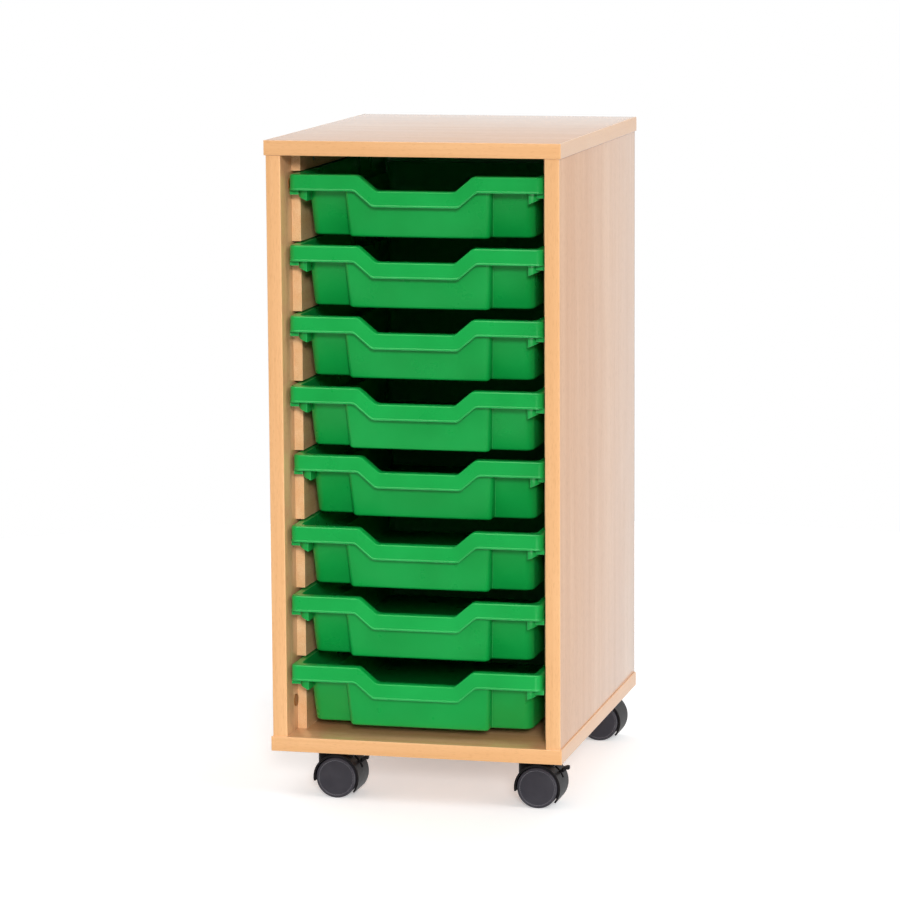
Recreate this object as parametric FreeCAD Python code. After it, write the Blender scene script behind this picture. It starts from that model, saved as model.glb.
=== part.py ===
import FreeCAD, Part
import os
from math import acos, atan2, cos, degrees, radians, sin, tan

# Classroom tray storage unit: a faced-chipboard carcass on four twin-wheel castors, holding one
# column of shallow plastic trays that slide in slots between runner battens.
# Frame: millimetres, +Z up, the front faces -Y, +X is the right side seen from the front.
# The origin is on the floor, under the centre of the carcass.

V = FreeCAD.Vector
X_AXIS = V(1, 0, 0)
Y_AXIS = V(0, 1, 0)
Z_AXIS = V(0, 0, 1)

# ---------------------------------------------------------------- driving dimensions: carcass
PANEL_THICKNESS = 18.0            # faced chipboard
EDGING_THICKNESS = 2.0            # plastic strip glued round the board edges
PANEL_OVERHANG = 2.0              # top and base stand proud of the side panels
BACK_THICKNESS = 6.0
REBATE_DEPTH = 9.0                # how far the back panel is let into the boards round it
REBATE_CLEARANCE = 0.5            # back panel edge to rebate wall
TOP_GAP = 23.5                    # top panel's underside to the rim of the top tray
BOTTOM_GAP = 14.0                 # base panel's top face to the bottom tray's underside

# ---------------------------------------------------------------- driving dimensions: trays
TRAY_COUNT = 8
TRAY_SPACING = 9.5                # rim top to the underside of the tray over it
TRAY_WIDTH = 312.0                # over the rim
TRAY_LENGTH = 427.0               # over the rim
TRAY_HEIGHT = 75.0
TRAY_WALL = 2.2
TRAY_SIDE_CLEARANCE = 4.0         # rim to side panel, each side
TRAY_END_ROOM = 27.0              # how much deeper the carcass is than a tray, inside its back
RIM_CORNER_RADIUS = 10.0
RIM_EDGE_RADIUS = 1.2             # rounding along the rim's top outer edge
BAND_HEIGHT = 19.0                # front and rear skirt of the rim
SKIRT_HEIGHT = 25.0               # side skirts of the rim, which slide on the battens
SHOULDER_HEIGHT = 32.0            # upper, wider part of the tray, down from the rim top
SHOULDER_STEP = 9.5               # shoulder's side to the body wall under it
SHOULDER_CHAMFER = 4.0            # slant under the shoulder's outer side
UPPER_SETBACK = 11.0              # band's face to the upper front wall, and the same at the rear
FRONT_SETBACK_TOP = 24.0          # band's face to the lower front wall, at its top
FRONT_SETBACK_BOTTOM = 38.0       # and at the tray's bottom
REAR_SETBACK_TOP = 20.0
REAR_SETBACK_BOTTOM = 28.0
SIDE_DRAFT = 2.0                  # how far each side wall leans in, top to bottom
BODY_CORNER_RADIUS = 12.0
BODY_BOTTOM_RADIUS = 3.0
PANEL_STEP_WIDTH = 180.0          # stepped-forward panel in the middle of the front, at its top
PANEL_STEP_TAPER = 4.0            # how much each of its sides leans in, top to bottom
PANEL_STEP_LEAN = 8.0             # how far its face leans back, top to bottom
PANEL_STEP_RADIUS = 8.0
SCOOP_DEPTH = 18.5                # dip in the middle of the front rim, a finger hold
SCOOP_TOP_WIDTH = 140.0
SCOOP_BOTTOM_WIDTH = 96.0
SCOOP_RADIUS = 9.0
SCOOP_BAND_SPREAD = 9.0           # the band's lower edge turns this much further out
SCOOP_PLATE_THICKNESS = 2.64      # rim plate along the dip, measured upright
FOOT_CAP_GAP = 1.0                # end wall of a side skirt to the batten's inner face
# how far each tray stands forward of the back panel, top tray first
TRAY_PULLS = [9.0, 12.0, 15.0, 18.0, 5.0, 20.0, 23.0, 26.0]

# ---------------------------------------------------------------- driving dimensions: runners
BATTEN_THICKNESS = 11.0
BATTEN_FRONT_SETBACK = 50.0       # carcass front to the battens' front ends
BATTEN_BACK_CLEARANCE = 1.0       # battens' rear ends to the back panel
SLIDE_GAP = 0.3                   # skirt to the batten it slides on
SLOT_CLEARANCE = 1.7              # rim top to the batten over it
SHOULDER_CLEARANCE = 1.5          # shoulder to the battens' inner faces

# ---------------------------------------------------------------- driving dimensions: fixings
DOWEL_RADIUS = 4.0
DOWEL_LENGTH = 30.0
DOWEL_TIP_COVER = 7.0             # board left behind a dowel in the top or base panel
DOWEL_END_INSET = 45.0            # panel end to the first and last dowel
DOWELS_PER_JOINT = 4
SCREW_RADIUS = 1.75               # batten and back panel screws
SCREW_HEAD_RADIUS = 3.5
SCREW_HEAD_HEIGHT = 2.0
BATTEN_SCREW_TIP_COVER = 5.0      # side panel left behind the screw's tip
BATTEN_SCREW_END_INSET = 60.0
SCREWS_PER_BATTEN = 3
BACK_SCREW_LENGTH = 20.0
BACK_SCREWS_PER_SIDE = 6
BACK_SCREW_END_INSET = 60.0
FIXING_CLEARANCE = 0.05           # radial, round every dowel, screw, pin and axle

# ---------------------------------------------------------------- driving dimensions: castors
CASTOR_SIDE_INSET = 55.0          # carcass side to swivel axis
CASTOR_END_INSET = 46.0           # carcass front or back to swivel axis
CASTOR_TRAIL = 20.0               # swivel axis to axle
WHEEL_RADIUS = 25.0
WHEEL_WIDTH = 16.5
WHEEL_EDGE_RADIUS = 2.0
WHEEL_RIM_THICKNESS = 4.0
WHEEL_HUB_RADIUS = 7.0
WHEEL_DISH_DEPTH = 10.0           # hollow on the wheel's inner side
WHEEL_FACE_THICKNESS = 3.3        # closed outer end of the axle bore
WEB_THICKNESS = 14.0              # middle wall of the hood, between the wheels
WHEEL_SIDE_CLEARANCE = 0.8        # wheel to web
HOOD_CLEARANCE = 1.2              # wheel tread to the inside of the hood
HOOD_THICKNESS = 2.3
HOOD_STEM_END_ANGLE = 190.0       # hood's lip on the swivel side, from the +X direction
HOOD_TRAIL_END_ANGLE = -38.0      # hood's lip on the trailing side
AXLE_RADIUS = 3.0
AXLE_BOSS_RADIUS = 9.0
KING_PIN_RADIUS = 4.0
KING_PIN_DROP = 1.3               # king pin's end, below the axle's height
KING_PIN_END_WALL = 2.0           # hood left under the king pin
STEM_WALL = 2.5                   # hood round the king pin
HOOD_TOP_GAP = 0.5                # hood to plate
HOOD_BLOCK_RISE = 3.7             # block round the king pin, over the hood's round top
HOOD_BLOCK_HALF_WIDTH = 11.0
HOOD_BLOCK_LENGTH = 44.0
PLATE_WIDTH = 44.0
PLATE_THICKNESS = 2.3
PLATE_CORNER_RADIUS = 5.0
PLATE_SCREW_INSET = 6.0           # plate's edge to the screws
PLATE_SCREW_RADIUS = 2.0
PLATE_SCREW_HEAD_RADIUS = 3.8
PLATE_SCREW_HEAD_HEIGHT = 1.9
PLATE_SCREW_TIP_COVER = 4.3       # base panel left behind the screw's tip
PEDAL_THICKNESS = 6.0             # arm in the web's slot
PEDAL_SIDE_CLEARANCE = 0.4
PEDAL_PIVOT_RADIUS = 2.0
PEDAL_HUB_RADIUS = 4.5
PEDAL_PIVOT_INSET = 5.5           # pivot to the inside of the hood
PEDAL_PIVOT_ANGLE = 37.0          # pivot's place round the axle, from level
PEDAL_ARM_THICKNESS = 4.5
PEDAL_TAB_WIDTH = 14.0
PEDAL_TAB_LENGTH = 9.0
PEDAL_TAB_THICKNESS = 5.0
PEDAL_TAB_HEIGHT = 7.0            # tab's middle over the pivot
PEDAL_OVERHANG = 6.5              # tab's tip beyond the hood
PEDAL_SWEEP_RADIUS = 11.0         # room round the pivot for the arm to turn

# ---------------------------------------------------------------- sizes that follow
CARCASS_DEPTH = TRAY_LENGTH + TRAY_END_ROOM + BACK_THICKNESS
TRAY_PITCH = TRAY_HEIGHT + TRAY_SPACING
INNER_HALF_WIDTH = TRAY_WIDTH / 2 + TRAY_SIDE_CLEARANCE
SIDE_OUTER_X = INNER_HALF_WIDTH + PANEL_THICKNESS
CARCASS_HALF_WIDTH = SIDE_OUTER_X + PANEL_OVERHANG
FRONT_Y = -CARCASS_DEPTH / 2
REAR_Y = CARCASS_DEPTH / 2
BACK_FACE_Y = REAR_Y - BACK_THICKNESS
SIDE_FRONT_Y = FRONT_Y + PANEL_OVERHANG
HOOD_INNER_RADIUS = WHEEL_RADIUS + HOOD_CLEARANCE
HOOD_OUTER_RADIUS = HOOD_INNER_RADIUS + HOOD_THICKNESS
CASTOR_HEIGHT = (WHEEL_RADIUS + HOOD_OUTER_RADIUS + HOOD_BLOCK_RISE + HOOD_TOP_GAP
                 + PLATE_THICKNESS)
BASE_BOTTOM_Z = CASTOR_HEIGHT
BASE_TOP_Z = BASE_BOTTOM_Z + PANEL_THICKNESS
INNER_HEIGHT = TOP_GAP + (TRAY_COUNT - 1) * TRAY_PITCH + TRAY_HEIGHT + BOTTOM_GAP
TOP_BOTTOM_Z = BASE_TOP_Z + INNER_HEIGHT
TOP_Z = TOP_BOTTOM_Z + PANEL_THICKNESS
BATTEN_FACE_X = INNER_HALF_WIDTH - BATTEN_THICKNESS
BATTEN_FRONT_Y = FRONT_Y + BATTEN_FRONT_SETBACK
BATTEN_REAR_Y = BACK_FACE_Y - BATTEN_BACK_CLEARANCE
SHOULDER_HALF_WIDTH = BATTEN_FACE_X - SHOULDER_CLEARANCE
DOWEL_IN_PANEL = PANEL_THICKNESS - DOWEL_TIP_COVER
BATTEN_SCREW_LENGTH = BATTEN_THICKNESS + PANEL_THICKNESS - BATTEN_SCREW_TIP_COVER
PLATE_SCREW_LENGTH = PLATE_THICKNESS + PANEL_THICKNESS - PLATE_SCREW_TIP_COVER
PEDAL_PIVOT_X = (HOOD_INNER_RADIUS - PEDAL_PIVOT_INSET) * cos(radians(PEDAL_PIVOT_ANGLE))
PEDAL_PIVOT_Z = (HOOD_INNER_RADIUS - PEDAL_PIVOT_INSET) * sin(radians(PEDAL_PIVOT_ANGLE))
WHEEL_INNER_Y = WEB_THICKNESS / 2 + WHEEL_SIDE_CLEARANCE
WHEEL_OUTER_Y = WHEEL_INNER_Y + WHEEL_WIDTH


def tray_bottom_z(number):
    """Height of a tray's underside; the top tray is number 1."""
    return TOP_BOTTOM_Z - TOP_GAP - TRAY_HEIGHT - (number - 1) * TRAY_PITCH


def tray_front_y(number):
    """Depth of a tray's front at rest."""
    pull = TRAY_PULLS[(number - 1) % len(TRAY_PULLS)]
    return BACK_FACE_Y - pull - TRAY_LENGTH


# ---------------------------------------------------------------- shape helpers
def box(x0, x1, y0, y1, z0, z1):
    return Part.makeBox(x1 - x0, y1 - y0, z1 - z0, V(x0, y0, z0))


def rod(x, y, z, radius, length, axis):
    return Part.makeCylinder(radius, length, V(x, y, z), axis)


def fused(shapes):
    return shapes[0].multiFuse(shapes[1:]).removeSplitter() if len(shapes) > 1 else shapes[0]


def mirrored_x(shape):
    return shape.mirror(V(0, 0, 0), X_AXIS)


def spread(first, last, count):
    """Evenly spaced values from first to last."""
    return [first + (last - first) * step / (count - 1) for step in range(count)]


def rounded_rectangle(x0, x1, y0, y1, z, radius):
    """A closed level wire with four round corners."""
    k = radius * (1 - cos(radians(45)))
    line = Part.LineSegment
    edges = [
        line(V(x0 + radius, y0, z), V(x1 - radius, y0, z)).toShape(),
        Part.Arc(V(x1 - radius, y0, z), V(x1 - k, y0 + k, z), V(x1, y0 + radius, z)).toShape(),
        line(V(x1, y0 + radius, z), V(x1, y1 - radius, z)).toShape(),
        Part.Arc(V(x1, y1 - radius, z), V(x1 - k, y1 - k, z), V(x1 - radius, y1, z)).toShape(),
        line(V(x1 - radius, y1, z), V(x0 + radius, y1, z)).toShape(),
        Part.Arc(V(x0 + radius, y1, z), V(x0 + k, y1 - k, z), V(x0, y1 - radius, z)).toShape(),
        line(V(x0, y1 - radius, z), V(x0, y0 + radius, z)).toShape(),
        Part.Arc(V(x0, y0 + radius, z), V(x0 + k, y0 + k, z), V(x0 + radius, y0, z)).toShape(),
    ]
    return Part.Wire(edges)


def rounded_prism(x0, x1, y0, y1, z0, z1, radius):
    face = Part.Face(rounded_rectangle(x0, x1, y0, y1, z0, radius))
    return face.extrude(V(0, 0, z1 - z0))


def tapered_box(bottom, top, z0, z1, radius):
    """A solid between two level rounded rectangles, each given as (x0, x1, y0, y1)."""
    lower = rounded_rectangle(*bottom, z0, radius)
    upper = rounded_rectangle(*top, z1, radius)
    return Part.makeLoft([lower, upper], True, True)


def rounded_path(points, radius):
    """Edges through the points, with every inner corner rounded by a tangent arc."""
    edges = []
    start = points[0]
    for before, corner, after in zip(points, points[1:], points[2:]):
        into = (corner - before).normalize()
        out = (after - corner).normalize()
        turn = acos(max(-1.0, min(1.0, into.dot(out))))
        reach = radius * tan(turn / 2)
        arc_start = corner - into * reach
        arc_end = corner + out * reach
        inward = (out - into).normalize()
        middle = corner + inward * (radius / cos(turn / 2) - radius)
        edges.append(Part.LineSegment(start, arc_start).toShape())
        edges.append(Part.Arc(arc_start, middle, arc_end).toShape())
        start = arc_end
    edges.append(Part.LineSegment(start, points[-1]).toShape())
    return edges


def revolved(profile, centre, axis):
    """A turned solid from a closed list of points."""
    wire = Part.makePolygon(profile + [profile[0]])
    return Part.Face(wire).revolve(centre, axis, 360)


def save(name, solids):
    shape = solids[0] if len(solids) == 1 else Part.makeCompound(solids)
    shape.exportStep("parts/" + name + ".step")


# ---------------------------------------------------------------- fixings
def screw(x, y, z, axis, length, radius, head_radius, head_height, clearance=0.0):
    """A countersunk screw from its head's flat, going along the axis. With a clearance, its hole."""
    shank = rod(x, y, z, radius + clearance, length + clearance, axis)
    head = Part.makeCone(head_radius + clearance, radius + clearance, head_height, V(x, y, z), axis)
    return shank.fuse(head).removeSplitter()


def dowel_places():
    """(x, y, z of the lower end) of every dowel that joins a side panel to the top or the base."""
    x = INNER_HALF_WIDTH + PANEL_THICKNESS / 2
    depths = spread(FRONT_Y + DOWEL_END_INSET, REAR_Y - DOWEL_END_INSET, DOWELS_PER_JOINT)
    places = []
    for side in (-1, 1):
        for y in depths:
            places.append((side * x, y, BASE_TOP_Z - DOWEL_IN_PANEL))
            places.append((side * x, y, TOP_BOTTOM_Z + DOWEL_IN_PANEL - DOWEL_LENGTH))
    return places


def dowels(clearance=0.0):
    length = DOWEL_LENGTH + 2 * clearance
    radius = DOWEL_RADIUS + clearance
    return [rod(x, y, z - clearance, radius, length, Z_AXIS) for x, y, z in dowel_places()]


def batten_spans():
    """(lower, upper) height of each runner batten, top batten first."""
    seats = [tray_bottom_z(n) + TRAY_HEIGHT - SKIRT_HEIGHT - SLIDE_GAP
             for n in range(1, TRAY_COUNT + 1)]
    roofs = [tray_bottom_z(n) + TRAY_HEIGHT + SLOT_CLEARANCE for n in range(1, TRAY_COUNT + 1)]
    lowers = roofs + [BASE_TOP_Z]
    uppers = [TOP_BOTTOM_Z] + seats
    return list(zip(lowers, uppers))


def batten_screws(clearance=0.0):
    """Screws from the battens' inner faces into the side panels."""
    depths = spread(BATTEN_FRONT_Y + BATTEN_SCREW_END_INSET,
                    BATTEN_REAR_Y - BATTEN_SCREW_END_INSET, SCREWS_PER_BATTEN)
    screws = []
    for lower, upper in batten_spans():
        for y in depths:
            for side in (-1, 1):
                screws.append(screw(side * BATTEN_FACE_X, y, (lower + upper) / 2, X_AXIS * side,
                                    BATTEN_SCREW_LENGTH, SCREW_RADIUS, SCREW_HEAD_RADIUS,
                                    SCREW_HEAD_HEIGHT, clearance))
    return screws


def back_screws(clearance=0.0):
    """Screws through the back panel's edges into the rebates of the side panels."""
    x = INNER_HALF_WIDTH + REBATE_DEPTH / 2
    heights = spread(BASE_TOP_Z + BACK_SCREW_END_INSET, TOP_BOTTOM_Z - BACK_SCREW_END_INSET,
                     BACK_SCREWS_PER_SIDE)
    return [screw(side * x, REAR_Y, z, -Y_AXIS, BACK_SCREW_LENGTH, SCREW_RADIUS,
                  SCREW_HEAD_RADIUS, SCREW_HEAD_HEIGHT, clearance)
            for side in (-1, 1) for z in heights]


def castor_screws(clearance=0.0):
    """Countersunk screws through the castor plates into the base panel."""
    reach = PLATE_WIDTH / 2 - PLATE_SCREW_INSET
    plate_bottom = BASE_BOTTOM_Z - PLATE_THICKNESS
    return [screw(castor["x"] + dx, castor["y"] + dy, plate_bottom, Z_AXIS, PLATE_SCREW_LENGTH,
                  PLATE_SCREW_RADIUS, PLATE_SCREW_HEAD_RADIUS, PLATE_SCREW_HEAD_HEIGHT, clearance)
            for castor in CASTORS for dx in (-reach, reach) for dy in (-reach, reach)]


# ---------------------------------------------------------------- carcass
def back_panel_outline(clearance=0.0):
    """The back panel, or with a clearance the room cut for it."""
    reach = REBATE_DEPTH - REBATE_CLEARANCE + clearance
    return box(-INNER_HALF_WIDTH - reach, INNER_HALF_WIDTH + reach, BACK_FACE_Y, REAR_Y,
               BASE_TOP_Z - reach, TOP_BOTTOM_Z + reach)


def horizontal_panel(z0):
    """Core board of the top or the base, inside its edging."""
    core = box(-CARCASS_HALF_WIDTH + EDGING_THICKNESS, CARCASS_HALF_WIDTH - EDGING_THICKNESS,
               FRONT_Y + EDGING_THICKNESS, REAR_Y, z0, z0 + PANEL_THICKNESS)
    cutters = dowels(FIXING_CLEARANCE) + castor_screws(FIXING_CLEARANCE)
    cutters.append(back_panel_outline(REBATE_CLEARANCE))
    return core.cut(cutters)


def horizontal_edging(z0):
    """Edging strips of the top or the base: the front one covers the ends of the side ones."""
    z1 = z0 + PANEL_THICKNESS
    inner_x = CARCASS_HALF_WIDTH - EDGING_THICKNESS
    inner_y = FRONT_Y + EDGING_THICKNESS
    return [
        box(-CARCASS_HALF_WIDTH, CARCASS_HALF_WIDTH, FRONT_Y, inner_y, z0, z1),
        box(-CARCASS_HALF_WIDTH, -inner_x, inner_y, REAR_Y, z0, z1),
        box(inner_x, CARCASS_HALF_WIDTH, inner_y, REAR_Y, z0, z1),
    ]


def side_panel(side):
    core = box(INNER_HALF_WIDTH, SIDE_OUTER_X, SIDE_FRONT_Y + EDGING_THICKNESS, REAR_Y,
               BASE_TOP_Z, TOP_BOTTOM_Z)
    if side < 0:
        core = mirrored_x(core)
    cutters = dowels(FIXING_CLEARANCE) + batten_screws(FIXING_CLEARANCE)
    cutters += back_screws(FIXING_CLEARANCE)
    cutters.append(back_panel_outline(REBATE_CLEARANCE))
    return core.cut(cutters)


def side_edging(side):
    strip = box(INNER_HALF_WIDTH, SIDE_OUTER_X, SIDE_FRONT_Y, SIDE_FRONT_Y + EDGING_THICKNESS,
                BASE_TOP_Z, TOP_BOTTOM_Z)
    return strip if side > 0 else mirrored_x(strip)


def runner_batten(side, lower, upper):
    batten = box(BATTEN_FACE_X, INNER_HALF_WIDTH, BATTEN_FRONT_Y, BATTEN_REAR_Y, lower, upper)
    if side < 0:
        batten = mirrored_x(batten)
    return batten.cut(batten_screws(FIXING_CLEARANCE))


# ---------------------------------------------------------------- tray
# In its own frame a tray's front is at y = 0, its underside at z = 0 and its middle at x = 0.
BAND_BOTTOM = TRAY_HEIGHT - BAND_HEIGHT
SKIRT_BOTTOM = TRAY_HEIGHT - SKIRT_HEIGHT
SHOULDER_BOTTOM = TRAY_HEIGHT - SHOULDER_HEIGHT
RIM_X = TRAY_WIDTH / 2
BODY_TOP_X = SHOULDER_HALF_WIDTH - SHOULDER_STEP
BODY_BOTTOM_X = BODY_TOP_X - SIDE_DRAFT


def scoop_line(edge_z, extra_half_width):
    """Points along the rim's top edge or the band's lower edge, dipping in the middle."""
    top = SCOOP_TOP_WIDTH / 2 + extra_half_width
    bottom = SCOOP_BOTTOM_WIDTH / 2 + extra_half_width
    end = RIM_X - RIM_CORNER_RADIUS
    low_z = edge_z - SCOOP_DEPTH
    return [V(-end, 0, edge_z), V(-top, 0, edge_z), V(-bottom, 0, low_z),
            V(bottom, 0, low_z), V(top, 0, edge_z), V(end, 0, edge_z)]


def strip_between(upper, lower, depth):
    """A plate between two dipping lines, going back from the tray's front."""
    edges = rounded_path(upper, SCOOP_RADIUS)
    edges += rounded_path(lower, SCOOP_RADIUS)
    edges.append(Part.LineSegment(upper[0], lower[0]).toShape())
    edges.append(Part.LineSegment(upper[-1], lower[-1]).toShape())
    wire = Part.Wire(Part.sortEdges(edges)[0])
    return Part.Face(wire).extrude(V(0, depth, 0))


def tray_outside(wall, floor):
    """Outer form of the tray's body for wall 0 and floor 0; its hollow with the real wall."""
    rise = 1.0 if floor else 0.0
    body_top = BAND_BOTTOM + floor
    radius = BODY_CORNER_RADIUS - wall
    lower = tapered_box(
        (-BODY_BOTTOM_X + wall, BODY_BOTTOM_X - wall, FRONT_SETBACK_BOTTOM + wall,
         TRAY_LENGTH - REAR_SETBACK_BOTTOM - wall),
        (-BODY_TOP_X + wall, BODY_TOP_X - wall, FRONT_SETBACK_TOP + wall,
         TRAY_LENGTH - REAR_SETBACK_TOP - wall),
        floor, body_top, radius)
    step_x = PANEL_STEP_WIDTH / 2 - wall
    middle_y = TRAY_LENGTH / 3
    step = tapered_box(
        (-step_x + PANEL_STEP_TAPER, step_x - PANEL_STEP_TAPER,
         UPPER_SETBACK + PANEL_STEP_LEAN + wall, middle_y),
        (-step_x, step_x, UPPER_SETBACK + wall, middle_y),
        floor, body_top + rise, PANEL_STEP_RADIUS - wall)
    front_upper = rounded_prism(
        -SHOULDER_HALF_WIDTH + wall, SHOULDER_HALF_WIDTH - wall,
        UPPER_SETBACK + wall, middle_y,
        body_top, TRAY_HEIGHT + rise, RIM_CORNER_RADIUS - wall)
    upper_back = rounded_prism(
        -SHOULDER_HALF_WIDTH + wall, SHOULDER_HALF_WIDTH - wall,
        middle_y / 2, TRAY_LENGTH - UPPER_SETBACK - wall,
        body_top, TRAY_HEIGHT + rise, RIM_CORNER_RADIUS - wall)
    parts = [lower, step, front_upper, upper_back]
    for side in (-1, 1):
        parts.append(tray_shoulder(side, wall, floor, body_top))
    return fused(parts)


def tray_shoulder(side, wall, floor, top):
    """The wider part of one side wall, slanted under its outer corner."""
    outer = SHOULDER_HALF_WIDTH - wall
    bottom = SHOULDER_BOTTOM + floor
    slant = SHOULDER_CHAMFER
    inner = BODY_BOTTOM_X - BODY_CORNER_RADIUS
    front = UPPER_SETBACK + wall
    rear = TRAY_LENGTH - UPPER_SETBACK - wall
    points = [V(inner, front, bottom), V(outer - slant, front, bottom),
              V(outer, front, bottom + 2 * slant), V(outer, front, top), V(inner, front, top)]
    shoulder = Part.Face(Part.makePolygon(points + [points[0]])).extrude(V(0, rear - front, 0))
    shoulder = shoulder.common(rounded_prism(-outer, outer, front, rear, bottom, top,
                                             RIM_CORNER_RADIUS - wall))
    # past the body's end walls only the part beside the body stands on
    body_side = BODY_TOP_X + wall
    front_wall = (FRONT_SETBACK_BOTTOM if wall else FRONT_SETBACK_TOP) + wall
    rear_wall = TRAY_LENGTH - (REAR_SETBACK_BOTTOM if wall else REAR_SETBACK_TOP) - wall
    for y0, y1 in ((front - 1, front_wall), (rear_wall, rear + 1)):
        shoulder = shoulder.cut(box(inner - 1, body_side, y0, y1, bottom - 1, top + 1))
    return shoulder if side > 0 else mirrored_x(shoulder)


def tray_rim():
    """The flat rim and its hanging skirts, with the front left open for the dipped band."""
    block = rounded_prism(-RIM_X, RIM_X, 0, TRAY_LENGTH, SKIRT_BOTTOM, TRAY_HEIGHT,
                          RIM_CORNER_RADIUS)
    top_edges = [edge for edge in block.Edges
                 if all(abs(vertex.Z - TRAY_HEIGHT) < 1e-6 for vertex in edge.Vertexes)]
    block = block.makeFillet(RIM_EDGE_RADIUS, top_edges)
    under = rounded_prism(-RIM_X + TRAY_WALL, RIM_X - TRAY_WALL, TRAY_WALL,
                          TRAY_LENGTH - TRAY_WALL, SKIRT_BOTTOM, TRAY_HEIGHT - TRAY_WALL,
                          RIM_CORNER_RADIUS - TRAY_WALL)
    shell = block.cut(under)
    end_y = RIM_CORNER_RADIUS
    for y0, y1 in ((-1, end_y), (TRAY_LENGTH - end_y, TRAY_LENGTH + 1)):
        shell = shell.cut(box(-RIM_X - 1, RIM_X + 1, y0, y1, SKIRT_BOTTOM - 1, BAND_BOTTOM))
    front_x = RIM_X - RIM_CORNER_RADIUS
    return shell.cut(box(-front_x, front_x, -1, TRAY_WALL + RIM_EDGE_RADIUS, SKIRT_BOTTOM - 1,
                         TRAY_HEIGHT + 1))


def foot_caps():
    """Small end walls that close each side skirt under the rim."""
    inner_x = BATTEN_FACE_X + FOOT_CAP_GAP
    first = RIM_CORNER_RADIUS
    last = TRAY_LENGTH - RIM_CORNER_RADIUS - TRAY_WALL
    caps = []
    for side in (-1, 1):
        for y in (first, last):
            cap = box(inner_x, RIM_X, y, y + TRAY_WALL, SKIRT_BOTTOM, TRAY_HEIGHT - TRAY_WALL / 2)
            caps.append(cap if side > 0 else mirrored_x(cap))
    return caps


def tray():
    outside = tray_outside(0.0, 0.0)
    bottom_edges = [edge for edge in outside.Edges
                    if all(abs(vertex.Z) < 1e-6 for vertex in edge.Vertexes)]
    outside = outside.makeFillet(BODY_BOTTOM_RADIUS, bottom_edges)
    hollow = tray_outside(TRAY_WALL, TRAY_WALL)
    rim = tray_rim()
    top_line = scoop_line(TRAY_HEIGHT, 0.0)
    low_line = scoop_line(BAND_BOTTOM, SCOOP_BAND_SPREAD / 2)
    ledge_line = scoop_line(TRAY_HEIGHT - SCOOP_PLATE_THICKNESS, 0.0)
    above = [V(point.x, 0, TRAY_HEIGHT + SCOOP_DEPTH) for point in (top_line[0], top_line[-1])]
    scoop_edges = rounded_path(top_line, SCOOP_RADIUS)
    scoop_edges.append(Part.LineSegment(top_line[0], above[0]).toShape())
    scoop_edges.append(Part.LineSegment(above[0], above[1]).toShape())
    scoop_edges.append(Part.LineSegment(above[1], top_line[-1]).toShape())
    scoop = Part.Face(Part.Wire(Part.sortEdges(scoop_edges)[0]))
    ledge_depth = UPPER_SETBACK + TRAY_WALL
    scoop_void = scoop.extrude(V(0, 2 * ledge_depth, 0))
    scoop_void.translate(V(0, -ledge_depth / 2, 0))
    band = strip_between(top_line, low_line, TRAY_WALL)
    ledge = strip_between(top_line, ledge_line, ledge_depth)
    whole = fused([outside.cut(hollow), rim.cut(hollow)] + foot_caps())
    whole = whole.cut(scoop_void)
    return fused([whole, band, ledge])


# ---------------------------------------------------------------- castors
# In its own frame a castor's axle crosses (0, 0) and runs along y; the swivel axis is at -trail.
CASTORS = []
for end_name, end_sign in (("front", -1), ("rear", 1)):
    for side_name, side_sign in (("left", -1), ("right", 1)):
        CASTORS.append({
            "name": "castor_" + end_name + "_" + side_name,
            "x": side_sign * (CARCASS_HALF_WIDTH - CASTOR_SIDE_INSET),
            "y": end_sign * (CARCASS_DEPTH / 2 - CASTOR_END_INSET),
            "braked": end_name == "front",
        })

PLATE_BOTTOM = CASTOR_HEIGHT - PLATE_THICKNESS - WHEEL_RADIUS      # heights above the axle
HOOD_TOP = PLATE_BOTTOM - HOOD_TOP_GAP


def placed(shape, castor):
    """Moves a shape from the castor's own frame to its place under the base."""
    moved = shape.copy()
    moved.translate(V(castor["x"] + CASTOR_TRAIL, castor["y"], WHEEL_RADIUS))
    return moved


def pie(radius, start_angle, end_angle, half_width):
    """A round sector about the axle, the angles counted from +X towards +Z."""
    turn = end_angle - start_angle
    sector = Part.makeCylinder(radius, 2 * half_width, V(0, 0, 0), Z_AXIS, turn)
    sector.rotate(V(0, 0, 0), Z_AXIS, start_angle)
    sector.translate(V(0, 0, -half_width))
    sector.rotate(V(0, 0, 0), X_AXIS, 90)
    return sector


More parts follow.
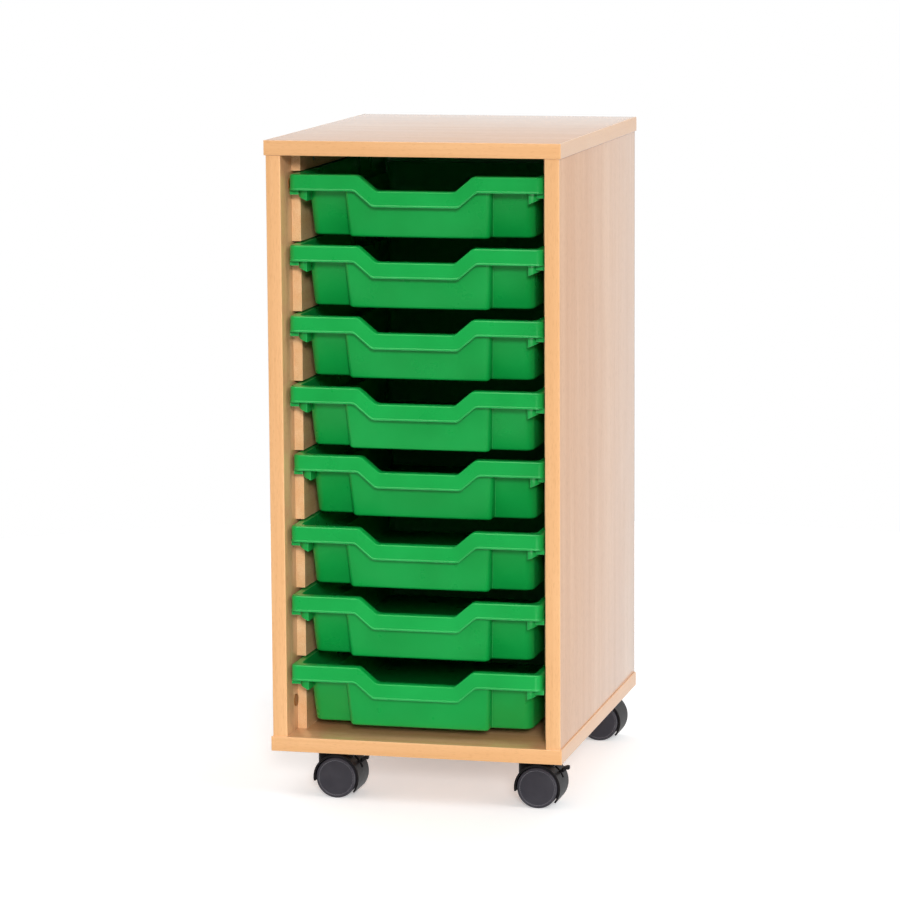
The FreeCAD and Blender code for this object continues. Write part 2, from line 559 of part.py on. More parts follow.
def hood(braked):
    half_width = WHEEL_OUTER_Y
    shell = pie(HOOD_OUTER_RADIUS, HOOD_TRAIL_END_ANGLE, HOOD_STEM_END_ANGLE, half_width)
    shell = shell.cut(rod(0, -half_width - 1, 0, HOOD_INNER_RADIUS, 2 * half_width + 2, Y_AXIS))
    web = pie(HOOD_INNER_RADIUS + HOOD_THICKNESS / 2, HOOD_TRAIL_END_ANGLE, HOOD_STEM_END_ANGLE,
              WEB_THICKNESS / 2)
    axle_boss = rod(0, -WEB_THICKNESS / 2, 0, AXLE_BOSS_RADIUS, WEB_THICKNESS, Y_AXIS)
    stem_radius = KING_PIN_RADIUS + STEM_WALL
    pin_room_end = -KING_PIN_DROP - HOOD_TOP_GAP
    stem_bottom = pin_room_end - KING_PIN_END_WALL
    stem_boss = rod(-CASTOR_TRAIL, 0, stem_bottom, stem_radius, HOOD_TOP - stem_bottom, Z_AXIS)
    block_x = -CASTOR_TRAIL - stem_radius
    block = rounded_prism(block_x, block_x + HOOD_BLOCK_LENGTH, -HOOD_BLOCK_HALF_WIDTH,
                          HOOD_BLOCK_HALF_WIDTH, 0, HOOD_TOP, stem_radius - 1)
    body = fused([shell, web, axle_boss, stem_boss, block])
    for side in (-1, 1):
        start = side * WEB_THICKNESS / 2
        body = body.cut(rod(0, start, 0, HOOD_INNER_RADIUS, half_width, Y_AXIS * side))
    body = body.cut(rod(0, -half_width, 0, AXLE_RADIUS + FIXING_CLEARANCE, 2 * half_width,
                        Y_AXIS))
    body = body.cut(rod(-CASTOR_TRAIL, 0, pin_room_end, KING_PIN_RADIUS + FIXING_CLEARANCE,
                        HOOD_TOP - pin_room_end, Z_AXIS))
    if braked:
        slot_half = PEDAL_THICKNESS / 2 + PEDAL_SIDE_CLEARANCE
        body = body.cut(rod(PEDAL_PIVOT_X, -slot_half, PEDAL_PIVOT_Z, PEDAL_SWEEP_RADIUS,
                            2 * slot_half, Y_AXIS))
        body = body.cut(rod(PEDAL_PIVOT_X, -half_width, PEDAL_PIVOT_Z,
                            PEDAL_PIVOT_RADIUS + FIXING_CLEARANCE, 2 * half_width, Y_AXIS))
    return body


def brake_pedal():
    """A lever on two trunnions: a tab outside the hood and a nose that wedges by the axle."""
    half = PEDAL_THICKNESS / 2
    pivot = V(PEDAL_PIVOT_X, 0, PEDAL_PIVOT_Z)
    hub = rod(pivot.x, -half, pivot.z, PEDAL_HUB_RADIUS, PEDAL_THICKNESS, Y_AXIS)
    trunnions = rod(pivot.x, -WEB_THICKNESS / 2, pivot.z, PEDAL_PIVOT_RADIUS, WEB_THICKNESS,
                    Y_AXIS)
    tab_tip = HOOD_OUTER_RADIUS + PEDAL_OVERHANG
    tab_root = tab_tip - PEDAL_TAB_LENGTH
    tab_z = pivot.z + PEDAL_TAB_HEIGHT
    tab_half = PEDAL_TAB_WIDTH / 2
    tab = rounded_prism(tab_root, tab_tip, -tab_half, tab_half, tab_z - PEDAL_TAB_THICKNESS / 2,
                        tab_z + PEDAL_TAB_THICKNESS / 2, PEDAL_TAB_LENGTH / 3)
    arm_end = V(tab_root + PEDAL_TAB_LENGTH / 2, 0, tab_z)
    arm = lever_bar(pivot, arm_end, half)
    nose_end = pivot * (1 - (PEDAL_SWEEP_RADIUS - PEDAL_ARM_THICKNESS / 2) / pivot.Length)
    nose = lever_bar(pivot, nose_end, half)
    return fused([hub, trunnions, arm, tab, nose])


def lever_bar(start, end, half_width):
    """A flat bar between two points, as wide as the pedal's slot lets it be."""
    along = end - start
    bar = box(0, along.Length, -half_width, half_width, -PEDAL_ARM_THICKNESS / 2,
              PEDAL_ARM_THICKNESS / 2)
    bar.rotate(V(0, 0, 0), Y_AXIS, -degrees(atan2(along.z, along.x)))
    bar.translate(start)
    return bar


def wheel(side):
    """One of the twin wheels: closed outer face, hollow inner side, blind axle bore."""
    y0 = WHEEL_INNER_Y
    y1 = WHEEL_OUTER_Y
    tread_inner = WHEEL_RADIUS - WHEEL_RIM_THICKNESS
    dish = y0 + WHEEL_DISH_DEPTH
    bore = AXLE_RADIUS + FIXING_CLEARANCE
    bore_end = y1 - WHEEL_FACE_THICKNESS + FIXING_CLEARANCE
    profile = [V(0, y1, 0), V(WHEEL_RADIUS, y1, 0), V(WHEEL_RADIUS, y0, 0), V(tread_inner, y0, 0),
               V(tread_inner, dish, 0), V(WHEEL_HUB_RADIUS, dish, 0), V(WHEEL_HUB_RADIUS, y0, 0),
               V(bore, y0, 0), V(bore, bore_end, 0), V(0, bore_end, 0)]
    disc = revolved(profile, V(0, 0, 0), Y_AXIS)
    rim_edges = [edge for edge in disc.Edges
                 if hasattr(edge.Curve, "Radius") and abs(edge.Curve.Radius - WHEEL_RADIUS) < 1e-6]
    disc = disc.makeFillet(WHEEL_EDGE_RADIUS, rim_edges)
    return disc if side > 0 else disc.mirror(V(0, 0, 0), Y_AXIS)


def axle():
    half = WHEEL_OUTER_Y - WHEEL_FACE_THICKNESS
    return rod(0, -half, 0, AXLE_RADIUS, 2 * half, Y_AXIS)


def castor_plate():
    """Fixing plate with its riveted king pin."""
    half = PLATE_WIDTH / 2
    plate = rounded_prism(-CASTOR_TRAIL - half, -CASTOR_TRAIL + half, -half, half, PLATE_BOTTOM,
                          PLATE_BOTTOM + PLATE_THICKNESS, PLATE_CORNER_RADIUS)
    pin = rod(-CASTOR_TRAIL, 0, -KING_PIN_DROP, KING_PIN_RADIUS,
              KING_PIN_DROP + PLATE_BOTTOM + PLATE_THICKNESS, Z_AXIS)
    return fused([plate, pin])


# ---------------------------------------------------------------- build
os.makedirs("parts", exist_ok=True)

save("top_panel", [horizontal_panel(TOP_BOTTOM_Z)])
save("base_panel", [horizontal_panel(BASE_BOTTOM_Z)])
save("top_panel_edging", horizontal_edging(TOP_BOTTOM_Z))
save("base_panel_edging", horizontal_edging(BASE_BOTTOM_Z))
save("left_side_panel", [side_panel(-1)])
save("right_side_panel", [side_panel(1)])
save("side_panel_edging", [side_edging(-1), side_edging(1)])
save("back_panel", [back_panel_outline().cut(back_screws(FIXING_CLEARANCE))])
save("carcass_dowels", dowels())
save("batten_screws", batten_screws())
save("back_panel_screws", back_screws())
save("castor_screws", castor_screws())

for index, (lower_z, upper_z) in enumerate(batten_spans(), start=1):
    save("left_runner_batten_" + str(index), [runner_batten(-1, lower_z, upper_z)])
    save("right_runner_batten_" + str(index), [runner_batten(1, lower_z, upper_z)])

tray_form = tray()
for index in range(1, TRAY_COUNT + 1):
    one_tray = tray_form.copy()
    one_tray.translate(V(0, tray_front_y(index), tray_bottom_z(index)))
    save("tray_" + str(index), [one_tray])

for unit in CASTORS:
    plate_solid = placed(castor_plate(), unit).cut(castor_screws(FIXING_CLEARANCE))
    save(unit["name"] + "_plate", [plate_solid])
    save(unit["name"] + "_hood", [placed(hood(unit["braked"]), unit)])
    save(unit["name"] + "_axle", [placed(axle(), unit)])
    save(unit["name"] + "_front_wheel", [placed(wheel(-1), unit)])
    save(unit["name"] + "_rear_wheel", [placed(wheel(1), unit)])
    if unit["braked"]:
        save(unit["name"] + "_brake_pedal", [placed(brake_pedal(), unit)])
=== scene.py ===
# %% [markdown]
# # A classroom tray storage unit
# The real object is a narrow cabinet of beech-effect board on four castors. Eight shallow green
# plastic trays slide in slots between wooden runners. Here each piece is modelled by hand around
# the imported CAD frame, in the frame's own metres, so that every piece already stands in its place.

import bmesh
import bpy
import math
from mathutils import Matrix, Vector


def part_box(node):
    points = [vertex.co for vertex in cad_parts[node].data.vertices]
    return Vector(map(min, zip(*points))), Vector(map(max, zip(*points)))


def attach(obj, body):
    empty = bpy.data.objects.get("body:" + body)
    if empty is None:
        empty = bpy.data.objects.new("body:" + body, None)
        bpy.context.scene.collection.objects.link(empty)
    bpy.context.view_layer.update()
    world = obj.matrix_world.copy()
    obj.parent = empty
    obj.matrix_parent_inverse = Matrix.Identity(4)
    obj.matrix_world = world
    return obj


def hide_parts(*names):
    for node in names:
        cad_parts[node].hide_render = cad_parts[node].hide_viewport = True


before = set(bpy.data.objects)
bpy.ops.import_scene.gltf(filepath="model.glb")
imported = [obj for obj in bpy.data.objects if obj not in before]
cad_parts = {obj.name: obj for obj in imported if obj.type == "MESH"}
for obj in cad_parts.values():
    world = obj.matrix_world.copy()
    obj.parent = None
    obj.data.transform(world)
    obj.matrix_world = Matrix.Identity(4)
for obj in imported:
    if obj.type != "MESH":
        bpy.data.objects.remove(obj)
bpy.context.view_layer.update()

# %% [markdown]
# ## The camera
# The cabinet is seen from a little to its right and a little above. A short lens close by would make
# its uprights run together. A long lens from almost five metres away keeps them nearly parallel.

# %% Camera
CAMERA_PLACE = Vector((1.1381, -4.6797, 1.1456))
CAMERA_TURN, CAMERA_DIP, CAMERA_ROLL = 13.796, -8.804, 0.357
LENS_PIXELS, FRAME_PIXELS, SENSOR = 3915.6, 900, 36.0

camera_data = bpy.data.cameras.new("camera")
camera_data.sensor_width = SENSOR
camera_data.lens = LENS_PIXELS / FRAME_PIXELS * SENSOR
camera_data.clip_end = 100
camera = bpy.data.objects.new("camera", camera_data)
bpy.context.scene.collection.objects.link(camera)
camera.location = CAMERA_PLACE
turn = Matrix.Rotation(math.radians(CAMERA_TURN), 3, "Z")
dip_down = Matrix.Rotation(math.radians(90 + CAMERA_DIP), 3, "X")
roll = Matrix.Rotation(math.radians(-CAMERA_ROLL), 3, "Z")
camera.rotation_euler = (turn @ dip_down @ roll).to_euler()
bpy.context.scene.camera = camera
print("camera lens", round(camera_data.lens, 1), "mm")

# %% [markdown]
# ## The studio
# A pale floor in an even, pale surround. Three broad suns and a soft sky, a little brighter in front,
# bring a surface that faces them to about its own colour. A plain white sky could do it all, but it
# would wash out everything that has a sheen. So the eye sees a white surround, and a gloss sees a
# studio: a dim room in front, a pale sweep behind that turns the boards pale at a slant, a long
# softbox overhead and a small low lamp. The last two are bright lines on round edges, and light
# nothing else.

# %% Small tools for materials
SMOOTH = {"interpolation_type": "SMOOTHSTEP"}


def colour(text):
    """A linear colour from an sRGB hex value."""
    parts = [int(text[i:i + 2], 16) / 255 for i in (1, 3, 5)]
    return tuple(c / 12.92 if c <= 0.04045 else ((c + 0.055) / 1.055) ** 2.4 for c in parts) + (1,)


def add(tree, kind, settings=None, **inputs):
    """Adds a node, sets its properties and its inputs, and links the inputs that are outputs."""
    node = tree.nodes.new(kind)
    for key, value in (settings or {}).items():
        setattr(node, key, value)
    for key, value in inputs.items():
        socket = node.inputs[int(key[1:])] if key[1:].isdigit() else node.inputs[key.replace("_", " ")]
        if isinstance(value, bpy.types.NodeSocket):
            tree.links.new(value, socket)
        else:
            socket.default_value = value
    return node


def material(name):
    """A new material and its empty node tree."""
    new = bpy.data.materials.new(name)
    new.use_nodes = True
    new.node_tree.nodes.clear()
    return new, new.node_tree


# %% Levels and places in the sky
SKY_FRONT, SKY_BEHIND = 0.50, 0.33    # what lights a matt surface
ROOM_LEVEL, SWEEP_LEVEL = 0.15, 0.88  # what a gloss sees
SWEEP_FROM, SWEEP_FULL = -0.8, 0.1    # the sweep starts and is full at this Y of a direction
SOFTBOX_LEVEL, SOFTBOX_FROM, SOFTBOX_FULL = 4.5, 0.60, 0.78    # it starts and is full at this Z
SOFTBOX_FADE, SOFTBOX_END = -0.30, -0.05                       # and fades and ends at this Y
LOW_LAMP_LEVEL, LOW_LAMP_PLACE = 4.0, (0.321, -0.931, -0.174)  # its place is a direction
LOW_LAMP_FROM, LOW_LAMP_FULL = 0.965, 0.985                    # cosines of angles from its middle
print("sky level", SKY_FRONT, "in front,", SKY_BEHIND, "behind")

# %% What a direction in the sky is worth
world = bpy.data.worlds.new("studio")
world.use_nodes = True
bpy.context.scene.world = world
sky = world.node_tree
sky.nodes.clear()
way = add(sky, "ShaderNodeTexCoord").outputs["Generated"]
toward = add(sky, "ShaderNodeSeparateXYZ", Vector=way)
soft = add(sky, "ShaderNodeMapRange", Value=toward.outputs["Y"], From_Min=-1.0, From_Max=1.0,
           To_Min=SKY_FRONT, To_Max=SKY_BEHIND)
room = add(sky, "ShaderNodeMapRange", SMOOTH, Value=toward.outputs["Y"], From_Min=SWEEP_FROM,
           From_Max=SWEEP_FULL, To_Min=ROOM_LEVEL, To_Max=SWEEP_LEVEL)
overhead = add(sky, "ShaderNodeMapRange", SMOOTH, Value=toward.outputs["Z"], From_Min=SOFTBOX_FROM,
               From_Max=SOFTBOX_FULL, To_Min=0.0, To_Max=SOFTBOX_LEVEL)
ahead = add(sky, "ShaderNodeMapRange", SMOOTH, Value=toward.outputs["Y"], From_Min=SOFTBOX_FADE,
            From_Max=SOFTBOX_END, To_Min=1.0, To_Max=0.0)
room = add(sky, "ShaderNodeMath", {"operation": "MULTIPLY_ADD"}, i0=overhead.outputs[0],
           i1=ahead.outputs[0], i2=room.outputs[0])
by_lamp = add(sky, "ShaderNodeVectorMath", {"operation": "DOT_PRODUCT"}, i0=way, i1=LOW_LAMP_PLACE)
low_lamp = add(sky, "ShaderNodeMapRange", SMOOTH, Value=by_lamp.outputs["Value"],
               From_Min=LOW_LAMP_FROM, From_Max=LOW_LAMP_FULL, To_Min=0.0, To_Max=LOW_LAMP_LEVEL)
room = add(sky, "ShaderNodeMath", {"operation": "ADD"}, i0=room.outputs[0], i1=low_lamp.outputs[0])
print("nodes for its two levels:", len(sky.nodes))

# %% Who sees which sky
path = add(sky, "ShaderNodeLightPath")
lit = add(sky, "ShaderNodeMix", i0=path.outputs["Is Glossy Ray"], i2=soft.outputs[0],
          i3=room.outputs[0])
seen = add(sky, "ShaderNodeMath", {"operation": "MAXIMUM"},
           i0=path.outputs["Is Camera Ray"], i1=path.outputs["Is Transmission Ray"])
level = add(sky, "ShaderNodeMix", i0=seen.outputs[0], i2=lit.outputs[0], i3=1.0)
light = add(sky, "ShaderNodeBackground", Color=colour("#FFFFFF"), Strength=level.outputs[0])
add(sky, "ShaderNodeOutputWorld", Surface=light.outputs[0])
print("nodes in the whole sky:", len(sky.nodes))

# %% Suns: name, strength, and in degrees their spread, direction and height
SUNS = (("key", 1.92, 10, 17, 18), ("window", 0.82, 24, 72, 35), ("back_fill", 1.2, 90, 205, 30))
for name, strength, spread, side_angle, height_angle in SUNS:
    lamp_data = bpy.data.lights.new(name, "SUN")
    lamp_data.energy = strength
    lamp_data.angle = math.radians(spread)
    lamp = bpy.data.objects.new(name, lamp_data)
    bpy.context.scene.collection.objects.link(lamp)
    lamp.rotation_euler = (math.radians(90 - height_angle), 0, math.radians(side_angle))
    lamp.visible_glossy = False   # a sun's mirror image would burn out the polished top
print("suns:", len(SUNS))

# %% Floor
FLOOR_RADIUS = 1.8
FLOOR_GLOW = 0.34                 # lifts the lit floor to white, for the eye alone
bpy.ops.object.select_all(action="DESELECT")
bpy.ops.mesh.primitive_circle_add(vertices=96, radius=FLOOR_RADIUS, fill_type="NGON")
floor = bpy.context.active_object
floor.name = "studio_floor"
floor_finish, tree = material("pale studio floor")
by_eye = add(tree, "ShaderNodeLightPath").outputs["Is Camera Ray"]
lift = add(tree, "ShaderNodeMath", {"operation": "MULTIPLY"}, i0=by_eye, i1=FLOOR_GLOW)
paint = add(tree, "ShaderNodeBsdfDiffuse", Color=colour("#F4F4F4"))
glow = add(tree, "ShaderNodeEmission", Color=colour("#FFFFFF"), Strength=lift.outputs[0])
both = add(tree, "ShaderNodeAddShader", i0=paint.outputs[0], i1=glow.outputs[0])
add(tree, "ShaderNodeOutputMaterial", Surface=both.outputs[0])
floor.data.materials.append(floor_finish)
floor.visible_glossy = False      # a gloss sees the room in its place
bpy.context.scene.view_settings.view_transform = "Standard"
print("floor across", 2 * FLOOR_RADIUS, "m")

# %% [markdown]
# ## Working by hand, in code
# The pieces are made with the same tools as at the screen: a primitive, then edit mode, then
# modifiers. A few small helpers do what the mouse does. Faces, edges and points are picked by where
# they are. Their numbers could be used too, but they change with each step before them.

# %% Taking up a piece and picking parts of it
MM = 0.001
NEAR = 0.1            # millimetres that a part may lie from a place and still be picked


def near(value, wanted, within=NEAR):
    """True where a measure in millimetres is the wanted one."""
    return abs(value - wanted) < within


def take_up(name, primitive, **settings):
    """Deselects everything, adds a primitive and opens it in edit mode."""
    bpy.ops.object.select_all(action="DESELECT")
    primitive(**settings)
    piece = bpy.context.active_object
    piece.name = name
    piece.data.name = name
    bpy.ops.object.transform_apply(location=True, rotation=True, scale=True)
    bpy.ops.object.mode_set(mode="EDIT")
    return piece


def pick(kind, by_place, by_item=None):
    """Selects only the faces, edges or vertices whose middle, in millimetres, passes a test, and
    that pass a second test themselves where there is one."""
    bpy.ops.mesh.select_mode(type=kind)
    bpy.ops.mesh.select_all(action="DESELECT")
    mesh = bmesh.from_edit_mesh(bpy.context.edit_object.data)
    for item in {"VERT": mesh.verts, "EDGE": mesh.edges, "FACE": mesh.faces}[kind]:
        corners = [item.co] if kind == "VERT" else [v.co for v in item.verts]
        middle = sum(corners, Vector()) / len(corners) / MM
        if by_place(middle) and (by_item is None or by_item(item)):
            item.select_set(True)
    mesh.select_flush_mode()
    bmesh.update_edit_mesh(bpy.context.edit_object.data)


# %% Putting it down
SHARP = 30.0          # edges that turn by more degrees than this stay sharp


def put_down(piece, **modifiers):
    """Leaves edit mode, applies modifiers and smooths what isn't sharp."""
    bpy.ops.object.mode_set(mode="OBJECT")
    for kind, settings in modifiers.items():
        modifier = piece.modifiers.new(kind, kind.upper())
        for key, value in settings.items():
            setattr(modifier, key, value)
        bpy.ops.object.modifier_apply(modifier=modifier.name)
    bpy.ops.object.shade_smooth_by_angle(angle=math.radians(SHARP))
    print(piece.name, len(piece.data.polygons), "faces")
    return piece


# %% [markdown]
# ## A tray
# The real tray is one sheet of plastic about 2 mm thick, moulded in one shot. It could be carved from
# a box, but its wall would come out uneven. So it is modelled as a sheet. Level rings with round
# corners are laid out from the skirt's lower edge, over the rim and down to the floor, and bridged.
# The front is then stepped, and dipped for the finger hold, and Solidify gives the sheet its wall,
# as the mould does.

# %% A tray's sizes in millimetres, in its own frame: front at 0, underside at 0
TRAY_LENGTH, WALL = 427.0, 2.2
RIM_X, RIM_TOP, BAND_BOTTOM, SKIRT_BOTTOM = 156.0, 75.0, 56.0, 50.0
RIM_ROUND, RIM_STEPS = 2.4, 3
BEAD, BEAD_PROUD, BEAD_FALL = 1.4, 0.6, 0.84     # along the band's foot: its height, depth and slope
MOUTH_X, MOUTH_INSET = 145.3, 13.2
LEDGE_TOP, SHOULDER_TOP = 58.2, 45.2
BODY_X, BODY_FRONT, BODY_REAR = 135.8, 26.2, 404.8
FLOOR_X, FLOOR_FRONT, FLOOR_REAR, FLOOR_TOP = 133.8, 40.2, 396.8, WALL
RIM_CORNER, MOUTH_CORNER, BODY_CORNER, CORNER_STEPS = 10.0, 7.8, 9.8, 7
print("tray:", 2 * RIM_X, "x", TRAY_LENGTH, "x", RIM_TOP, "mm")


# %% A level ring
def ring(x_half, front, rear, height, radius):
    """Adds a level ring of edges with round corners, and says which vertices it has."""
    bpy.ops.mesh.select_all(action="DESELECT")
    data = bpy.context.edit_object.data
    before = len(bmesh.from_edit_mesh(data).verts)
    middle = Vector((0, (front + rear) / 2, height)) * MM
    bpy.ops.mesh.primitive_plane_add(size=1, location=middle)
    bpy.ops.transform.resize(value=(2 * x_half * MM, (rear - front) * MM, 1), center_override=middle)
    bpy.ops.mesh.bevel(affect="VERTICES", offset=radius * MM, segments=CORNER_STEPS)
    bpy.ops.mesh.delete(type="ONLY_FACE")
    return range(before, len(bmesh.from_edit_mesh(data).verts))


def rim_ring(height, inset=0.0):
    """A ring on the outside of the rim, so far in from its widest line."""
    return ring(RIM_X - inset, inset, TRAY_LENGTH - inset, height, RIM_CORNER - inset)


# %% The rings and the walls between them
STAGGER = 5.0         # two rings at one height confuse the bridge, so one waits a little lower
tray = take_up("tray_moulding", bpy.ops.mesh.primitive_plane_add, size=1)
bpy.ops.mesh.delete(type="VERT")
rings = [rim_ring(BAND_BOTTOM), rim_ring(BAND_BOTTOM + BEAD),
         rim_ring(BAND_BOTTOM + BEAD + BEAD_FALL, BEAD_PROUD)]
for step in range(RIM_STEPS + 1):
    turned = math.radians(90 * step / RIM_STEPS)
    rings.append(rim_ring(RIM_TOP - RIM_ROUND * (1 - math.sin(turned)),
                          BEAD_PROUD + RIM_ROUND * (1 - math.cos(turned))))
rings += [
    ring(MOUTH_X, MOUTH_INSET, TRAY_LENGTH - MOUTH_INSET, RIM_TOP - STAGGER, MOUTH_CORNER),
    ring(MOUTH_X, MOUTH_INSET, TRAY_LENGTH - MOUTH_INSET, LEDGE_TOP, MOUTH_CORNER),
    ring(BODY_X, BODY_FRONT, BODY_REAR, LEDGE_TOP - STAGGER, BODY_CORNER),
    ring(FLOOR_X, FLOOR_FRONT, FLOOR_REAR, FLOOR_TOP, BODY_CORNER),
]
for outer, inner in zip(rings, rings[1:]):
    pick("VERT", lambda place: True, lambda item: item.index in outer or item.index in inner)
    bpy.ops.mesh.bridge_edge_loops()
pick("VERT", lambda place: round(place.z + STAGGER, 1) in (RIM_TOP, LEDGE_TOP))
bpy.ops.transform.translate(value=(0, 0, STAGGER * MM))
pick("EDGE", lambda place: near(place.z, FLOOR_TOP))
bpy.ops.mesh.edge_face_add()
print("tray rings bridged:", len(rings))

# %% [markdown]
# ### The stepped front
# The middle of a tray's front stands forward of the rest, a little narrower at its foot. Drawing the
# old wall forward would leave its slope behind. So two slanted cuts mark the sides, the wall between
# them comes out, the floor is drawn forward to the new foot, and three new faces close it.

# %% Cutting, drawing out and closing
STEP_X_TOP, STEP_X_BOTTOM, STEP_FOOT = 87.8, 83.8, 21.2
STEP_LEAN = (STEP_X_TOP - STEP_X_BOTTOM) / (LEDGE_TOP - FLOOR_TOP)


def cut(place, direction):
    """Bisects what is picked with a plane through a place in millimetres."""
    bpy.ops.mesh.bisect(plane_co=Vector(place) * MM, plane_no=direction)


def draw_out(x=0.0, y=0.0, z=0.0):
    """Extrudes what is picked by a move in millimetres."""
    bpy.ops.mesh.extrude_region_move(TRANSFORM_OT_translate={"value": Vector((x, y, z)) * MM})


def is_at(place, wanted):
    """True where a place is the wanted one, both in millimetres."""
    return (place - Vector(wanted)).length < NEAR


def close(corners):
    """Closes the face between the vertices at the given places."""
    pick("VERT", lambda place: any(is_at(place, corner) for corner in corners))
    bpy.ops.mesh.edge_face_add()


def on_front_wall(place):
    """True on the wall behind the band, from the ledge down to the floor."""
    return 2 * BEAD_PROUD < place.y < FLOOR_FRONT + NEAR and place.z < LEDGE_TOP + NEAR


# %% The stepped middle of the front
for side in (-1, 1):
    pick("FACE", on_front_wall)
    cut((side * STEP_X_BOTTOM, 0, FLOOR_TOP), (side, 0, -STEP_LEAN))
pick("FACE", lambda place: on_front_wall(place) and near(place.x, 0))
bpy.ops.mesh.delete(type="FACE")
pick("EDGE", lambda place: near(place.x, 0) and near(place.y, FLOOR_FRONT))
draw_out(y=STEP_FOOT - FLOOR_FRONT)
TOP_CORNER = (STEP_X_TOP, MOUTH_INSET, LEDGE_TOP)
FOOT_CORNER = (STEP_X_BOTTOM, STEP_FOOT, FLOOR_TOP)
close([(side * x, y, z) for x, y, z in (TOP_CORNER, FOOT_CORNER) for side in (-1, 1)])
for side in (-1, 1):
    corners = [TOP_CORNER, (STEP_X_TOP, BODY_FRONT, LEDGE_TOP),
               (STEP_X_BOTTOM, FLOOR_FRONT, FLOOR_TOP), FOOT_CORNER]
    close([(side * x, y, z) for x, y, z in corners])
print("stepped front closed")

# %% [markdown]
# ### The finger hold
# The finger hold is a dip in the front of the rim: two straight slopes with round bends. A hole cut
# out of the rim would leave no rim along it. So the rim, band and wall are cut across where the dip
# bends, and the cut points are lowered along its line. The band's foot follows a little further out.

# %% The line of the dip
DIP_DEPTH, DIP_X_TOP, DIP_X_BOTTOM, DIP_RADIUS = 18.5, 70.0, 48.0, 9.0
slope = math.atan2(DIP_DEPTH, DIP_X_TOP - DIP_X_BOTTOM)
tangent = DIP_RADIUS * math.tan(slope / 2)
upper_bend = (DIP_X_TOP + tangent, DIP_X_TOP - tangent * math.cos(slope))
lower_bend = (DIP_X_BOTTOM + tangent * math.cos(slope), DIP_X_BOTTOM - tangent)
print("the dip's slope is", round(math.degrees(slope)), "degrees")


def dip(x):
    """How far the rim lies under its top at a distance from the tray's middle."""
    x = abs(x)
    if x > upper_bend[0]:
        return 0.0
    if x > upper_bend[1]:
        return DIP_RADIUS - math.sqrt(DIP_RADIUS ** 2 - (upper_bend[0] - x) ** 2)
    if x > lower_bend[0]:
        return (DIP_X_TOP - x) * math.tan(slope)
    if x > lower_bend[1]:
        return DIP_DEPTH - DIP_RADIUS + math.sqrt(DIP_RADIUS ** 2 - (x - lower_bend[1]) ** 2)
    return DIP_DEPTH


# %% The finger dip
BEND_STEPS = 5
DIP_SPREAD = 4.5      # how much further out the band's foot bends
LEDGE_DROP = 1.8      # the ledge stays this far under the dipped rim
for start, end in (upper_bend, lower_bend):
    for step in range(BEND_STEPS + 1):
        x = start + (end - start) * step / BEND_STEPS
        for side in (-1, 1):
            pick("FACE", lambda place: place.y < STEP_FOOT and place.z > LEDGE_TOP / 2)
            cut((side * x, 0, 0), (1, 0, 0))
mesh = bmesh.from_edit_mesh(tray.data)
for vertex in mesh.verts:
    x, y, z = vertex.co / MM
    if y > MOUTH_INSET + NEAR or abs(x) > upper_bend[0] + NEAR:
        continue
    drop = dip(x)
    if z > RIM_TOP - RIM_ROUND - NEAR:
        vertex.co.z -= drop * MM
    elif near(z, LEDGE_TOP) and y > 2 * BEAD_PROUD:
        ledge = min(LEDGE_TOP, RIM_TOP - drop - LEDGE_DROP)
        vertex.co.y += (LEDGE_TOP - ledge) / (LEDGE_TOP - FLOOR_TOP) * (STEP_FOOT - MOUTH_INSET) * MM
        vertex.co.z = ledge * MM
    elif z < BAND_BOTTOM + BEAD + BEAD_FALL + NEAR and y < 2 * BEAD_PROUD:
        vertex.co.z -= drop * MM
        vertex.co.x += math.copysign(DIP_SPREAD * MM, x)
bmesh.update_edit_mesh(tray.data)
print("finger dip lowered by", DIP_DEPTH, "mm")

# %% [markdown]
# ### Skirts and shoulders
# A tray's sides differ from its ends. Their skirts hang lower, to slide on the runners, and the
# upper, wider part of the body reaches lower too. Rings with another form at the sides would be hard
# to bridge. So the skirts' lower edges are drawn down afterwards, and the ledge inside is drawn down
# beside the body.

# %% Side skirts
SKIRT_FRONT, CAP_WIDTH = 10.0, 10.7
for side in (-1, 1):
    pick("EDGE", lambda place: near(place.z, BAND_BOTTOM) and near(place.x, side * RIM_X, NEAR / 10))
    draw_out(z=SKIRT_BOTTOM - BAND_BOTTOM)
    for y in (SKIRT_FRONT, TRAY_LENGTH - SKIRT_FRONT):
        pick("EDGE", lambda place: is_at(place, (side * RIM_X, y, (SKIRT_BOTTOM + BAND_BOTTOM) / 2)))
        draw_out(x=-side * CAP_WIDTH)
print("skirts hang", BAND_BOTTOM - SKIRT_BOTTOM, "mm under the band")

# %% Where the shoulders are
SHOULDER_FROM, SHOULDER_ENDS = 137.5, (40.2, 390.8)
SHOULDER_SLOPE = 4.0  # their underside rises this much towards the skirt
LEDGE_INNER = 12.0    # how far inside the body's side the ledge is cut
MERGE = 0.02          # points nearer than this, in millimetres, are one


def beside_body(place):
    """True over the straight part of a body side, clear of its round corners."""
    return abs(place.x) > FLOOR_X and SHOULDER_ENDS[0] < place.y < SHOULDER_ENDS[1]


def on_ledge(place):
    """True on the ledge between the mouth and the body."""
    return near(place.z, LEDGE_TOP)


print("shoulders run from", SHOULDER_ENDS[0], "to", SHOULDER_ENDS[1], "mm")

